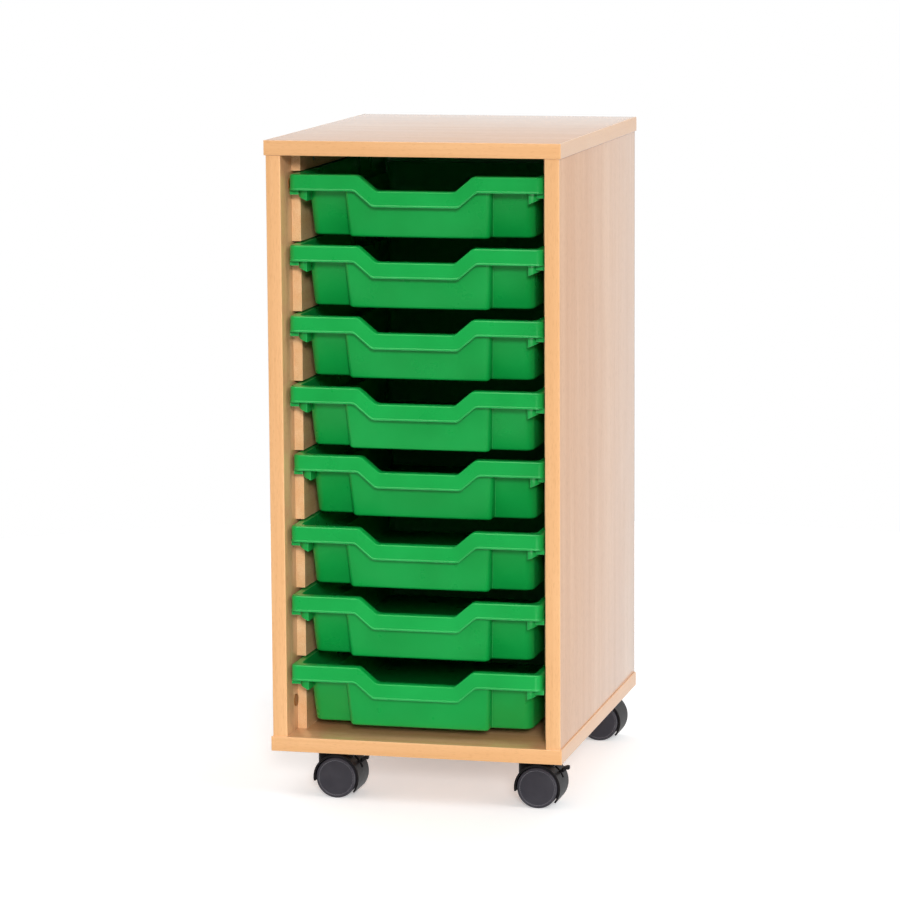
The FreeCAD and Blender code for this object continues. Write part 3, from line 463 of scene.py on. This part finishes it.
# %% Shoulders drawn down
for y in SHOULDER_ENDS:
    pick("FACE", lambda place: abs(place.x) > FLOOR_X and place.z < RIM_TOP - 1)
    cut((0, y, 0), (0, 1, 0))
for side in (-1, 1):
    pick("FACE", lambda place: on_ledge(place) and place.x * side > BODY_X - LEDGE_INNER
         and not beside_body(place))
    cut((side * SHOULDER_FROM, 0, 0), (1, 0, 0))
pick("FACE", lambda place: on_ledge(place) and (abs(place.x) > SHOULDER_FROM or beside_body(place)))
draw_out(z=SHOULDER_TOP - LEDGE_TOP)
pick("FACE", lambda place: beside_body(place) and abs(place.x) < BODY_X - NEAR)
cut((0, 0, SHOULDER_TOP), (0, 0, 1))
pick("FACE", lambda place: beside_body(place) and abs(place.x) < BODY_X + NEAR
     and SHOULDER_TOP < place.z < LEDGE_TOP)
bpy.ops.mesh.delete(type="FACE")
draft = (BODY_X - FLOOR_X) / (LEDGE_TOP - FLOOR_TOP) * (LEDGE_TOP - SHOULDER_TOP)
for side in (-1, 1):
    pick("VERT", lambda place: near(place.x, side * BODY_X) and near(place.z, SHOULDER_TOP))
    bpy.ops.transform.translate(value=(-side * draft * MM, 0, 0))
bpy.ops.mesh.select_all(action="SELECT")
bpy.ops.mesh.remove_doubles(threshold=MERGE * MM)
print("shoulders lowered by", round(LEDGE_TOP - SHOULDER_TOP, 1), "mm")

# %% Their sloping underside
mesh = bmesh.from_edit_mesh(tray.data)
for vertex in mesh.verts:
    share = (abs(vertex.co.x) / MM - BODY_X) / (MOUTH_X - BODY_X)
    if near(vertex.co.z / MM, SHOULDER_TOP) and share > 0:
        vertex.co.z += share * SHOULDER_SLOPE * MM
bmesh.update_edit_mesh(tray.data)
print("their underside rises by", SHOULDER_SLOPE, "mm")

# %% [markdown]
# ### Rounds and the wall
# A moulding has no sharp edge, because plastic doesn't fill one and would crack there. One Bevel over
# everything would be quick, but the step and the foot are rounder than the rest. So these two are
# rounded first, on the thin sheet. Then the sheet gets its wall, and every edge left a fine round.

# %% The round corners of the step and the round foot
STEP_ROUND, FOOT_ROUND = 4.0, 1.6
FLAT_ANGLE = 0.02     # radians
STEP_MIDDLE = Vector(((STEP_X_TOP + STEP_X_BOTTOM) / 2, (MOUTH_INSET + STEP_FOOT) / 2,
                      (LEDGE_TOP + FLOOR_TOP) / 2))


def at_step_corner(place):
    """True on the two upright corners of the stepped middle."""
    return is_at(Vector((abs(place.x), place.y, place.z)), STEP_MIDDLE)


def is_bend(edge):
    """False where the two faces beside an edge lie in one plane."""
    return len(edge.link_faces) != 2 or edge.calc_face_angle() >= FLAT_ANGLE


pick("EDGE", at_step_corner)
bpy.ops.mesh.bevel(affect="EDGES", offset=STEP_ROUND * MM, segments=4)
pick("EDGE", lambda place: near(place.z, FLOOR_TOP), is_bend)
bpy.ops.mesh.bevel(affect="EDGES", offset=FOOT_ROUND * MM, segments=3)
print("foot rounded by", FOOT_ROUND, "mm")

# %% The wall, and a fine round on every edge
TRAY_EDGE = 0.75


def eased(width, angle=35.0, segments=2):
    """The settings of a Bevel that eases all edges that turn by more degrees than the angle."""
    return {"width": width * MM, "segments": segments, "limit_method": "ANGLE",
            "angle_limit": math.radians(angle)}


bpy.ops.mesh.select_all(action="SELECT")
bpy.ops.mesh.remove_doubles(threshold=MERGE * MM)
bpy.ops.mesh.normals_make_consistent(inside=False)
floor_face = min(bmesh.from_edit_mesh(tray.data).faces, key=lambda face: face.calc_center_median().z)
if floor_face.normal.z < 0:
    bpy.ops.mesh.flip_normals()
put_down(tray, Solidify={"thickness": WALL * MM, "offset": -1, "use_even_offset": True,
                         "use_quality_normals": True}, Bevel=eased(TRAY_EDGE))

# %% [markdown]
# ### Eight trays
# All eight come from one mould. They could share one mesh, but each rides on its own body and has its
# place in its mesh. So the moulding is copied, and each copy gets a mesh of its own.


# %% Eight trays from one moulding
def copy_of(piece, name, move):
    """Another piece from the same mould, with a mesh of its own, moved in metres."""
    other = piece.copy()
    other.data = piece.data.copy()
    other.name = name
    other.data.name = name
    bpy.context.scene.collection.objects.link(other)
    other.data.transform(Matrix.Translation(move))
    return other


made = {}             # every finished piece by its name, to be given its finish at the end
for number in range(1, 9):
    node = f"tray_{number}"
    low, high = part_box(node)
    piece = copy_of(tray, node + "_moulding", Vector((0, low[1], low[2])))
    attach(piece, node)
    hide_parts(node)
    made[piece.name] = piece
bpy.data.objects.remove(tray)
print("trays:", len(made))

# %% [markdown]
# ## A castor wheel
# A twin-wheel castor has two moulded nylon wheels on one axle. Each is a shallow cup with a flat
# outer face, a hub inside and a rounded tread. Its outline could be spun round the axle, but a
# cylinder already has the tread and the faces. Its inner face is inset and pushed in for the cup,
# the hub is drawn back out, and the rims are bevelled.

# %% One wheel, on the rear side of a castor whose middle is at 0
WHEEL_RADIUS, WHEEL_INNER, WHEEL_OUTER = 25.0, 7.8, 24.3
TREAD_WALL, HUB_RADIUS, CUP_DEPTH = 4.0, 7.0, 10.0
TREAD_ROUND, INNER_ROUND, WHEEL_EDGE = 2.0, 0.8, 0.2
FACE_RIM, FACE_STEP = 1.6, 0.35

wheel = take_up(
    "castor_wheel", bpy.ops.mesh.primitive_cylinder_add, vertices=96, radius=WHEEL_RADIUS * MM,
    depth=(WHEEL_OUTER - WHEEL_INNER) * MM, rotation=(math.radians(90), 0, 0),
    location=(0, (WHEEL_OUTER + WHEEL_INNER) / 2 * MM, 0))
pick("FACE", lambda place: near(place.y, WHEEL_INNER))
bpy.ops.mesh.inset(thickness=TREAD_WALL * MM)
draw_out(y=CUP_DEPTH)
bpy.ops.mesh.inset(thickness=(WHEEL_RADIUS - TREAD_WALL - HUB_RADIUS) * MM)
draw_out(y=-CUP_DEPTH)
pick("FACE", lambda place: near(place.y, WHEEL_OUTER))
bpy.ops.mesh.inset(thickness=(FACE_RIM + TREAD_ROUND) * MM)
draw_out(y=-FACE_STEP)
for height, rim_round in ((WHEEL_INNER, INNER_ROUND), (WHEEL_OUTER, TREAD_ROUND)):
    pick("EDGE", lambda place: near(place.y, height)
         and near(math.hypot(place.x, place.z), WHEEL_RADIUS))
    bpy.ops.mesh.bevel(affect="EDGES", offset=rim_round * MM, segments=4)
bpy.ops.mesh.select_all(action="SELECT")
bpy.ops.mesh.normals_make_consistent(inside=False)
put_down(wheel, Bevel=eased(WHEEL_EDGE, angle=50.0, segments=1))

# %% Eight wheels, each on its own axle
front_wheel = copy_of(wheel, "castor_wheel_turned", Vector())
front_wheel.data.transform(Matrix.Rotation(math.pi, 4, "Z"))
for corner in ("front_left", "front_right", "rear_left", "rear_right"):
    for place, model, way_out in (("front", front_wheel, -1), ("rear", wheel, 1)):
        node = f"castor_{corner}_{place}_wheel"
        low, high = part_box(node)
        middle = (Vector(low) + Vector(high)) / 2
        own_middle = Vector((0, way_out * (WHEEL_OUTER + WHEEL_INNER) / 2, 0)) * MM
        piece = copy_of(model, node + "_moulding", middle - own_middle)
        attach(piece, node + "_body")
        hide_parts(node)
        made[piece.name] = piece
for model in (wheel, front_wheel):
    bpy.data.objects.remove(model)
print("wheels:", sum("wheel" in name for name in made))

# %% [markdown]
# ## The brake pedals
# Each front castor has a pedal: a lever through a slot in its hood, with a pointed paddle for the
# toe. It could be drawn anew, but its shape in the frame is right and only plain. So a copy of that
# mesh is merged and its paddle is worked on: the tip is narrowed, thinned and turned up, and every
# edge is eased, as a moulding's are.

# %% One pedal, and its copy on the other castor
PADDLE_ROOT, PADDLE_MIDDLE, PADDLE_TIP_Z = 174.0, -184.0, 44.5   # its x, y and z
PADDLE_NARROWED, PADDLE_THINNED, PADDLE_LIFT = 0.62, 0.8, 2.4
PEDAL_EDGE = 0.5
source = "castor_front_right_brake_pedal"
pedal = bpy.data.objects.new("pedal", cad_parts[source].data.copy())
bpy.context.scene.collection.objects.link(pedal)
bpy.ops.object.select_all(action="DESELECT")
pedal.select_set(True)
bpy.context.view_layer.objects.active = pedal
bpy.ops.object.mode_set(mode="EDIT")
bpy.ops.mesh.select_all(action="SELECT")
bpy.ops.mesh.remove_doubles(threshold=MERGE * MM)
bpy.ops.mesh.dissolve_limited(angle_limit=math.radians(3))
pick("VERT", lambda place: place.x > PADDLE_ROOT)
tip = Vector((PADDLE_ROOT, PADDLE_MIDDLE, PADDLE_TIP_Z)) * MM
bpy.ops.transform.resize(value=(1, PADDLE_NARROWED, PADDLE_THINNED), center_override=tip)
bpy.ops.transform.translate(value=(0, 0, PADDLE_LIFT * MM))
put_down(pedal, Bevel=eased(PEDAL_EDGE))
for corner in ("front_left", "front_right"):
    node = f"castor_{corner}_brake_pedal"
    move = Vector(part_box(node)[0]) - Vector(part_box(source)[0])
    piece = copy_of(pedal, node + "_moulding", move)
    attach(piece, node + "_body")
    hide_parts(node)
    made[piece.name] = piece
bpy.data.objects.remove(pedal)

# %% [markdown]
# ## The boards
# The carcass is cut from 18 mm faced chipboard. The four boards have a groove along the inside of
# their rear edge, where the back panel lies. It could be taken out with a Boolean, which leaves
# untidy faces. So each board starts as a block up to the groove, its rear face is cut, and the part
# behind the groove's wall is drawn back to the full depth.

# %% Sizes of the carcass in millimetres
HALF_WIDTH, FRONT, REAR = 180.0, -230.0, 230.0
TOP, BASE_LOW, BOARD, EDGING = 800.0, 60.0, 18.0, 2.0
GROOVE_FRONT, GROOVE_EDGE = 224.0, 169.0
BOARD_EDGE = 0.35
BOARD_X = HALF_WIDTH - EDGING
SIDE_INNER = BOARD_X - BOARD
print("between the sides:", 2 * SIDE_INNER, "mm")


# %% Work on one board
def block(name, low, high):
    """Takes up a cube between two corners in millimetres."""
    middle = [(a + b) / 2 * MM for a, b in zip(low, high)]
    size = [abs(b - a) * MM for a, b in zip(low, high)]
    return take_up(name, bpy.ops.mesh.primitive_cube_add, size=1, location=middle, scale=size)


def draw_back(keep):
    """Draws the kept part of the rear face back to the full depth."""
    pick("FACE", lambda place: near(place.y, GROOVE_FRONT) and keep(place))
    draw_out(y=REAR - GROOVE_FRONT)


def finish_board(piece, node):
    """Breaks a board's sharp edges and lets it stand for its node on the carcass."""
    put_down(piece, Bevel=eased(BOARD_EDGE, angle=40.0))
    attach(piece, "carcass")
    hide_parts(node)
    made[piece.name] = piece


# %% Top and base
for node, low_z, groove_z, groove_up in (("top_panel", TOP - BOARD, TOP - BOARD / 2, True),
                                         ("base_panel", BASE_LOW, BASE_LOW + BOARD / 2, False)):
    piece = block(node + "_board", (-BOARD_X, FRONT + EDGING, low_z),
                  (BOARD_X, GROOVE_FRONT, low_z + BOARD))
    for place, direction in (((0, 0, groove_z), (0, 0, 1)), ((GROOVE_EDGE, 0, 0), (1, 0, 0)),
                             ((-GROOVE_EDGE, 0, 0), (1, 0, 0))):
        pick("FACE", lambda place: near(place.y, GROOVE_FRONT))
        cut(place, direction)
    draw_back(lambda place: abs(place.x) > GROOVE_EDGE or (place.z > groove_z) == groove_up)
    finish_board(piece, node)

# %% The two sides
for side, node in ((-1, "left_side_panel"), (1, "right_side_panel")):
    piece = block(node + "_board", (side * SIDE_INNER, FRONT + 2 * EDGING, BASE_LOW + BOARD),
                  (side * BOARD_X, GROOVE_FRONT, TOP - BOARD))
    pick("FACE", lambda place: near(place.y, GROOVE_FRONT))
    cut((side * GROOVE_EDGE, 0, 0), (1, 0, 0))
    draw_back(lambda place: abs(place.x) > GROOVE_EDGE)
    finish_board(piece, node)

# %% [markdown]
# ## The edging
# The cut edges are covered with 2 mm plastic strips in a beech colour. A machine glues them on and
# rounds their outer edges with a cutter. They could be painted on the boards, but then the fine
# joint and the round would be missing. So they are strips of their own, with the outer long edges
# rounded, which catch the light as a thin line.

# %% A strip, and the strips of one board
EDGING_ROUND = 1.1


def strip(name, low, high, rounded):
    """Takes up one strip and rounds the long edges that the test picks."""
    piece = block(name, low, high)
    pick("EDGE", rounded)
    bpy.ops.mesh.bevel(affect="EDGES", offset=EDGING_ROUND * MM, segments=4)
    return put_down(piece)


def join(strips, node):
    """Joins the strips of one board and lets them stand for the board's edging."""
    bpy.ops.object.select_all(action="DESELECT")
    for piece in strips:
        piece.select_set(True)
    bpy.context.view_layer.objects.active = strips[0]
    bpy.ops.object.join()
    piece = bpy.context.active_object
    piece.name = node + "_strips"
    piece.data.name = piece.name
    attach(piece, "carcass")
    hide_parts(node)
    made[piece.name] = piece


# %% Edging strips
for node, low_z in (("top_panel_edging", TOP - BOARD), ("base_panel_edging", BASE_LOW)):
    strips = [strip(node, (-HALF_WIDTH, FRONT, low_z), (HALF_WIDTH, FRONT + EDGING, low_z + BOARD),
                    lambda place: near(place.y, FRONT))]
    for side in (-1, 1):
        strips.append(strip(node, (side * HALF_WIDTH, FRONT + EDGING, low_z),
                            (side * BOARD_X, REAR, low_z + BOARD),
                            lambda place: near(abs(place.x), HALF_WIDTH)
                            and FRONT + EDGING + NEAR < place.y < REAR - NEAR))
    join(strips, node)
strips = []
for side in (-1, 1):
    strips.append(strip("side_panel_edging", (side * SIDE_INNER, FRONT + EDGING, BASE_LOW + BOARD),
                        (side * BOARD_X, FRONT + 2 * EDGING, TOP - BOARD),
                        lambda place: near(place.y, FRONT + EDGING)
                        and near(place.z, (BASE_LOW + TOP) / 2)))
join(strips, "side_panel_edging")
print("boards and edging:", sum("board" in name or "strips" in name for name in made))

# %% [markdown]
# ## Cover caps
# The sides are drawn tight to the top and base with cam fittings, and a brown plastic cap covers
# each one. Those of the front sit just before the runners. A cap is a low disc with a soft rim and
# a slightly hollow face. A painted spot would look alike from afar, but it has no rim to catch the
# light. One cap is made and then laid on the inside of each side, below and above.

# %% Four caps
CAP_RADIUS, CAP_PROUD, CAP_Y, CAP_FROM_END = 7.5, 1.2, -188.5, 37.0
CAP_RIM, CAP_HOLLOW, CAP_EDGE = 1.4, 0.3, 0.3
cap = take_up("cam_cap", bpy.ops.mesh.primitive_cylinder_add, vertices=48, radius=CAP_RADIUS * MM,
              depth=CAP_PROUD * MM, rotation=(0, math.radians(90), 0),
              location=(CAP_PROUD / 2 * MM, 0, 0))
pick("FACE", lambda place: near(place.x, CAP_PROUD))
bpy.ops.mesh.inset(thickness=CAP_RIM * MM)
draw_out(x=-CAP_HOLLOW)
put_down(cap, Bevel=eased(CAP_EDGE))
for side, side_name in ((-1, "left"), (1, "right")):
    for height, height_name in ((BASE_LOW + BOARD + CAP_FROM_END, "lower"),
                                (TOP - BOARD - CAP_FROM_END, "upper")):
        piece = copy_of(cap, f"cam_cap_{side_name}_{height_name}", Vector())
        if side > 0:
            piece.data.transform(Matrix.Rotation(math.pi, 4, "Z"))
        piece.data.transform(Matrix.Translation(Vector((side * SIDE_INNER, CAP_Y, height)) * MM))
        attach(piece, "carcass")
        made[piece.name] = piece
bpy.data.objects.remove(cap)

# %% [markdown]
# ## Finishes
# Each finish is built from what the real one is. Pictures of surfaces could be laid on, but patterns
# worked out from real sizes run on round every corner and fit any size. One helper gives a streaky
# or cloudy pattern, drawn out along one axis as grain is. One tells where an edge is near, by
# comparing the true surface with one whose edges are rounded off, so that the edge can be paled
# there: for wear, and on the trays and wheels also as a painted highlight. One lays colours over
# each other, and the last adds the relief and the surface.

# %% Grain and worn edges
def grain(tree, across, length=None, along="Z", detail=2.0, shift=0.0, keep=None, to=(0.0, 1.0)):
    """A pattern with marks so many millimetres across and long. Its values lie about 0.5. Where two
    of them are to be kept, the part between them is spread over another range."""
    sizes = {axis: across * MM for axis in "XYZ"}
    sizes[along] = (length or across) * MM
    place = add(tree, "ShaderNodeTexCoord").outputs["Object"]
    laid = add(tree, "ShaderNodeMapping", Vector=place, Location=(shift, shift, shift),
               Scale=tuple(1 / sizes[axis] for axis in "XYZ"))
    marks = add(tree, "ShaderNodeTexNoise", Vector=laid.outputs[0], Scale=1.0, Detail=detail)
    if keep is None:
        return marks.outputs["Fac"]
    return add(tree, "ShaderNodeMapRange", Value=marks.outputs["Fac"], From_Min=keep[0],
               From_Max=keep[1], To_Min=to[0], To_Max=to[1]).outputs[0]


def near_edge(tree, radius):
    """A share that rises from 0 on flat parts to 1 at an edge, over a radius in millimetres."""
    rounded = add(tree, "ShaderNodeBevel", {"samples": 4}, Radius=radius * MM).outputs[0]
    true = add(tree, "ShaderNodeNewGeometry").outputs["Normal"]
    same = add(tree, "ShaderNodeVectorMath", {"operation": "DOT_PRODUCT"}, i0=rounded, i1=true)
    return add(tree, "ShaderNodeMapRange", Value=same.outputs["Value"], From_Min=0.75,
               From_Max=0.995, To_Min=1.0, To_Max=0.0).outputs[0]


# %% Laid colours and the surface
def coloured(tree, ground, *layers):
    """A ground colour with others over it. A layer is where it lies, how strongly, and its colour."""
    shade = colour(ground)
    for share, strength, laid_colour in layers:
        weight = add(tree, "ShaderNodeMath", {"operation": "MULTIPLY"}, i0=share, i1=strength)
        shade = add(tree, "ShaderNodeMix", {"data_type": "RGBA"}, i0=weight.outputs[0], i6=shade,
                    i7=colour(laid_colour)).outputs[2]
    return shade


def finish(name, tree, pattern, depth, **surface):
    """Ends a finish with a pattern as its relief, so many millimetres deep, and its surface."""
    relief = add(tree, "ShaderNodeBump", Height=pattern, Strength=1.0, Distance=depth * MM)
    shader = add(tree, "ShaderNodeBsdfPrincipled", Normal=relief.outputs[0], **surface)
    add(tree, "ShaderNodeOutputMaterial", Surface=shader.outputs[0])
    print("finish:", name)


# %% [markdown]
# ### Beech
# Beech-effect melamine is a printed paper under hard resin, pressed with a fine satin grain. Beech
# has wide soft bands, fine streaks and many short dark flecks a few millimetres long. The flecks
# are drawn about twice as wide as real ones, which would be lost at this size. The edging is dyed
# and printed plastic with the same figure, and is a warmer colour. The runners are real beech,
# planed and lacquered. The resin is a clear coat over the figure, as it is on the real board.

# %% Beech finishes
def beech(name, along, pale, deep, fleck, rough, coat, coat_rough=0.14, band=38.0, depth=0.02,
          flecks=0.34, wear=0.15):
    """A beech surface whose grain runs along one axis."""
    new, tree = material(name)
    bands = grain(tree, band, 900.0, along, detail=3.0, keep=(0.32, 0.68))
    tone = grain(tree, 3 * band, 420.0, along, detail=1.0, shift=9.0, keep=(0.35, 0.65))
    streaks = grain(tree, 2.6, 160.0, along, shift=3.1, keep=(0.3, 0.7), to=(0.0, 0.4))
    short = grain(tree, 0.9, 7.0, along, detail=0.0, shift=7.7, keep=(0.60, 0.74))
    figure = add(tree, "ShaderNodeMath", {"operation": "MULTIPLY_ADD"}, i0=bands, i1=0.6, i2=streaks)
    wood = coloured(tree, pale, (figure.outputs[0], 1.0, deep), (tone, 0.35, deep),
                    (short, flecks, fleck), (near_edge(tree, 1.2), wear, "#F6DDBE"))
    satin = grain(tree, 55.0, detail=3.0, shift=1.3, keep=(0.0, 1.0), to=(rough - 0.05, rough + 0.07))
    pores = grain(tree, 0.7, 5.0, along, detail=1.0, shift=5.0)
    finish(name, tree, pores, depth, Base_Color=wood, Roughness=satin, IOR=1.5, Coat_Weight=coat,
           Coat_Roughness=coat_rough)
    return new


MELAMINE = ("#E3B48A", "#CD9463", "#A8703F", 0.30, 1.0)
STRIP = ("#F0BC87", "#E3A96F", "#C08048", 0.33, 0.9)
LACQUERED = ("#FBD0A0", "#EFB680", "#B57C48", 0.36, 0.2)
DRY = ("#D9AF7E", "#C59763", "#9A6A3C", 0.6, 0.0)
board_finish = {axis: beech("beech melamine, grain along " + axis, axis, *MELAMINE) for axis in "XZ"}
strip_finish = {axis: beech("beech plastic edging, grain along " + axis, axis, *STRIP,
                            coat_rough=0.3, depth=0.01, flecks=0.2, wear=0.3) for axis in "XYZ"}
runner_finish = beech("lacquered beech", "Y", *LACQUERED, band=14.0, depth=0.04)
dowel_finish = beech("dry beech dowel", "X", *DRY, band=3.0)

# %% [markdown]
# ### Green polypropylene
# The trays are injection-moulded polypropylene. The plastic is dyed through, with a soft sheen from
# a satin mould. It shows faint clouds where it flowed and fine scuffs from use. Its edges are paler,
# partly where hands and runners have rubbed it and partly as a painted highlight along the rounds.

# %% Tray finish
tray_finish, tree = material("green moulded polypropylene")
clouds = grain(tree, 70.0, keep=(0.3, 0.7))
patchy = grain(tree, 9.0, detail=3.0, shift=2.0, keep=(0.35, 0.65), to=(0.45, 0.95))
# Paler edges: partly rubbed by hands and runners, partly a painted highlight along the rounds.
rubbed_and_highlight = add(tree, "ShaderNodeMath", {"operation": "MULTIPLY"}, i0=near_edge(tree, 1.0), i1=patchy)
dyed_and_highlight = coloured(tree, "#0C9A40", (clouds, 1.0, "#12A448"), (rubbed_and_highlight.outputs[0], 1.0, "#6FD08E"))
scuffs = grain(tree, 0.8, 26.0, "X", shift=4.0, keep=(0.62, 0.72), to=(0.0, 0.10))
satin = grain(tree, 30.0, detail=4.0, shift=6.0, keep=(0.3, 0.7), to=(0.26, 0.36))
sheen = add(tree, "ShaderNodeMath", {"operation": "ADD"}, i0=satin, i1=scuffs)
finish("green moulded polypropylene", tree, grain(tree, 0.9), 0.012, Base_Color=dyed_and_highlight,
       Roughness=sheen.outputs[0], IOR=1.49, Specular_IOR_Level=0.4)

# %% [markdown]
# ### Nylon, paint and steel
# The castors' hoods and pedals are black glass-filled nylon with a fine spark-eroded texture, which
# keeps them dull. The wheels are a smoother grey-black nylon, paler at their edges, partly rubbed
# and partly a painted highlight on the rims.
# The plates are pressed steel with black paint, the screws are zinc plated, and the axles are ground
# bright. The moulded and painted ones differ only in their numbers, so one function makes them all.

# %% Castor and metal finishes
def moulded(name, pale, deep, rough, texture, depth, edge, wear_and_highlight, gloss=0.5):
    """A moulded or painted surface with a fine texture and paler edges: wear, and on the wheels a
    painted highlight as well.
    """
    new, tree = material(name)
    clouds = grain(tree, 18.0, detail=3.0, keep=(0.3, 0.7))
    body = coloured(tree, pale, (clouds, 1.0, deep), (near_edge(tree, 0.8), wear_and_highlight, edge))
    sheen = grain(tree, 6.0, detail=3.0, shift=3.0, keep=(0.0, 1.0), to=(rough - 0.06, rough + 0.08))
    finish(name, tree, grain(tree, texture, shift=1.0), depth, Base_Color=body, Roughness=sheen,
           IOR=1.53, Specular_IOR_Level=gloss)
    return new


def bright_metal(name, pale, deep, rough, **marks):
    """A bright metal with fine marks that are so many millimetres across and long."""
    new, tree = material(name)
    body = coloured(tree, pale, (grain(tree, detail=3.0, keep=(0.3, 0.7), **marks), 1.0, deep))
    sheen = grain(tree, detail=3.0, keep=(0.3, 0.7), to=(rough - 0.08, rough + 0.1), **marks)
    finish(name, tree, grain(tree, detail=3.0, **marks), 0.005, Base_Color=body, Metallic=1.0,
           Roughness=sheen)
    return new


nylon_finish = moulded("black glass-filled nylon", "#131112", "#1C191A", rough=0.46, texture=0.5,
                       depth=0.015, edge="#464446", wear_and_highlight=0.35, gloss=0.2)
cap_finish = moulded("brown plastic", "#98602C", "#8A5424", rough=0.4, texture=1.2, depth=0.015,
                     edge="#D9A870", wear_and_highlight=0.5)
# The wheels' strong pale edge is partly wear on the rims and partly a painted highlight.
wheel_finish = moulded("grey-black wheel nylon", "#302E35", "#3B393F", rough=0.36, texture=1.4,
                       depth=0.02, edge="#A4A2A8", wear_and_highlight=0.75)
plate_finish = moulded("black painted steel", "#121212", "#1A1A1A", rough=0.34, texture=1.8,
                       depth=0.02, edge="#5C5A56", wear_and_highlight=0.3)
# The back board is black as a painted shade, which keeps the deep inside of the cabinet dark; the real
# board's face is not known.
back_finish = moulded("black back board", "#131313", "#1C1B1A", rough=0.55, texture=0.8,
                      depth=0.02, edge="#3A342E", wear_and_highlight=0.4)
zinc_finish = bright_metal("zinc plated steel", "#C9CBCD", "#A9ACB0", 0.34, across=0.6, length=2.0)
axle_finish = bright_metal("ground steel", "#C2C2C2", "#9E9E9E", 0.28, across=0.3, length=4.0,
                           along="X")

# %% Every piece and every shown node gets the first finish whose word is in its name
FINISHES = (
    ("brake_pedal", nylon_finish), ("wheel", wheel_finish), ("cam_cap", cap_finish),
    ("tray", tray_finish), ("side_panel_board", board_finish["Z"]), ("panel_board", board_finish["X"]),
    ("side_panel_edging", strip_finish["Z"]), ("panel_edging", strip_finish["X"]),
    ("runner_batten", runner_finish), ("dowels", dowel_finish), ("screws", zinc_finish),
    ("back_panel", back_finish), ("plate", plate_finish), ("hood", nylon_finish),
    ("axle", axle_finish),
)


def finish_for(name):
    """The finish of the piece or node with this name."""
    return next(chosen for word, chosen in FINISHES if word in name)


for name, piece in made.items():
    piece.data.materials.clear()
    piece.data.materials.append(finish_for(name))
    if finish_for(name) == strip_finish["X"]:     # strips along the sides have grain along the sides
        piece.data.materials.append(strip_finish["Y"])
        for face in piece.data.polygons:
            face.material_index = int(abs(face.center.x) > BOARD_X * MM)
shown = {name: node for name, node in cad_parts.items() if not node.hide_render}
for name, node in shown.items():
    for slot in node.material_slots:
        slot.material = finish_for(name)
print("pieces with a finish:", len(made), "nodes with a finish:", len(shown))
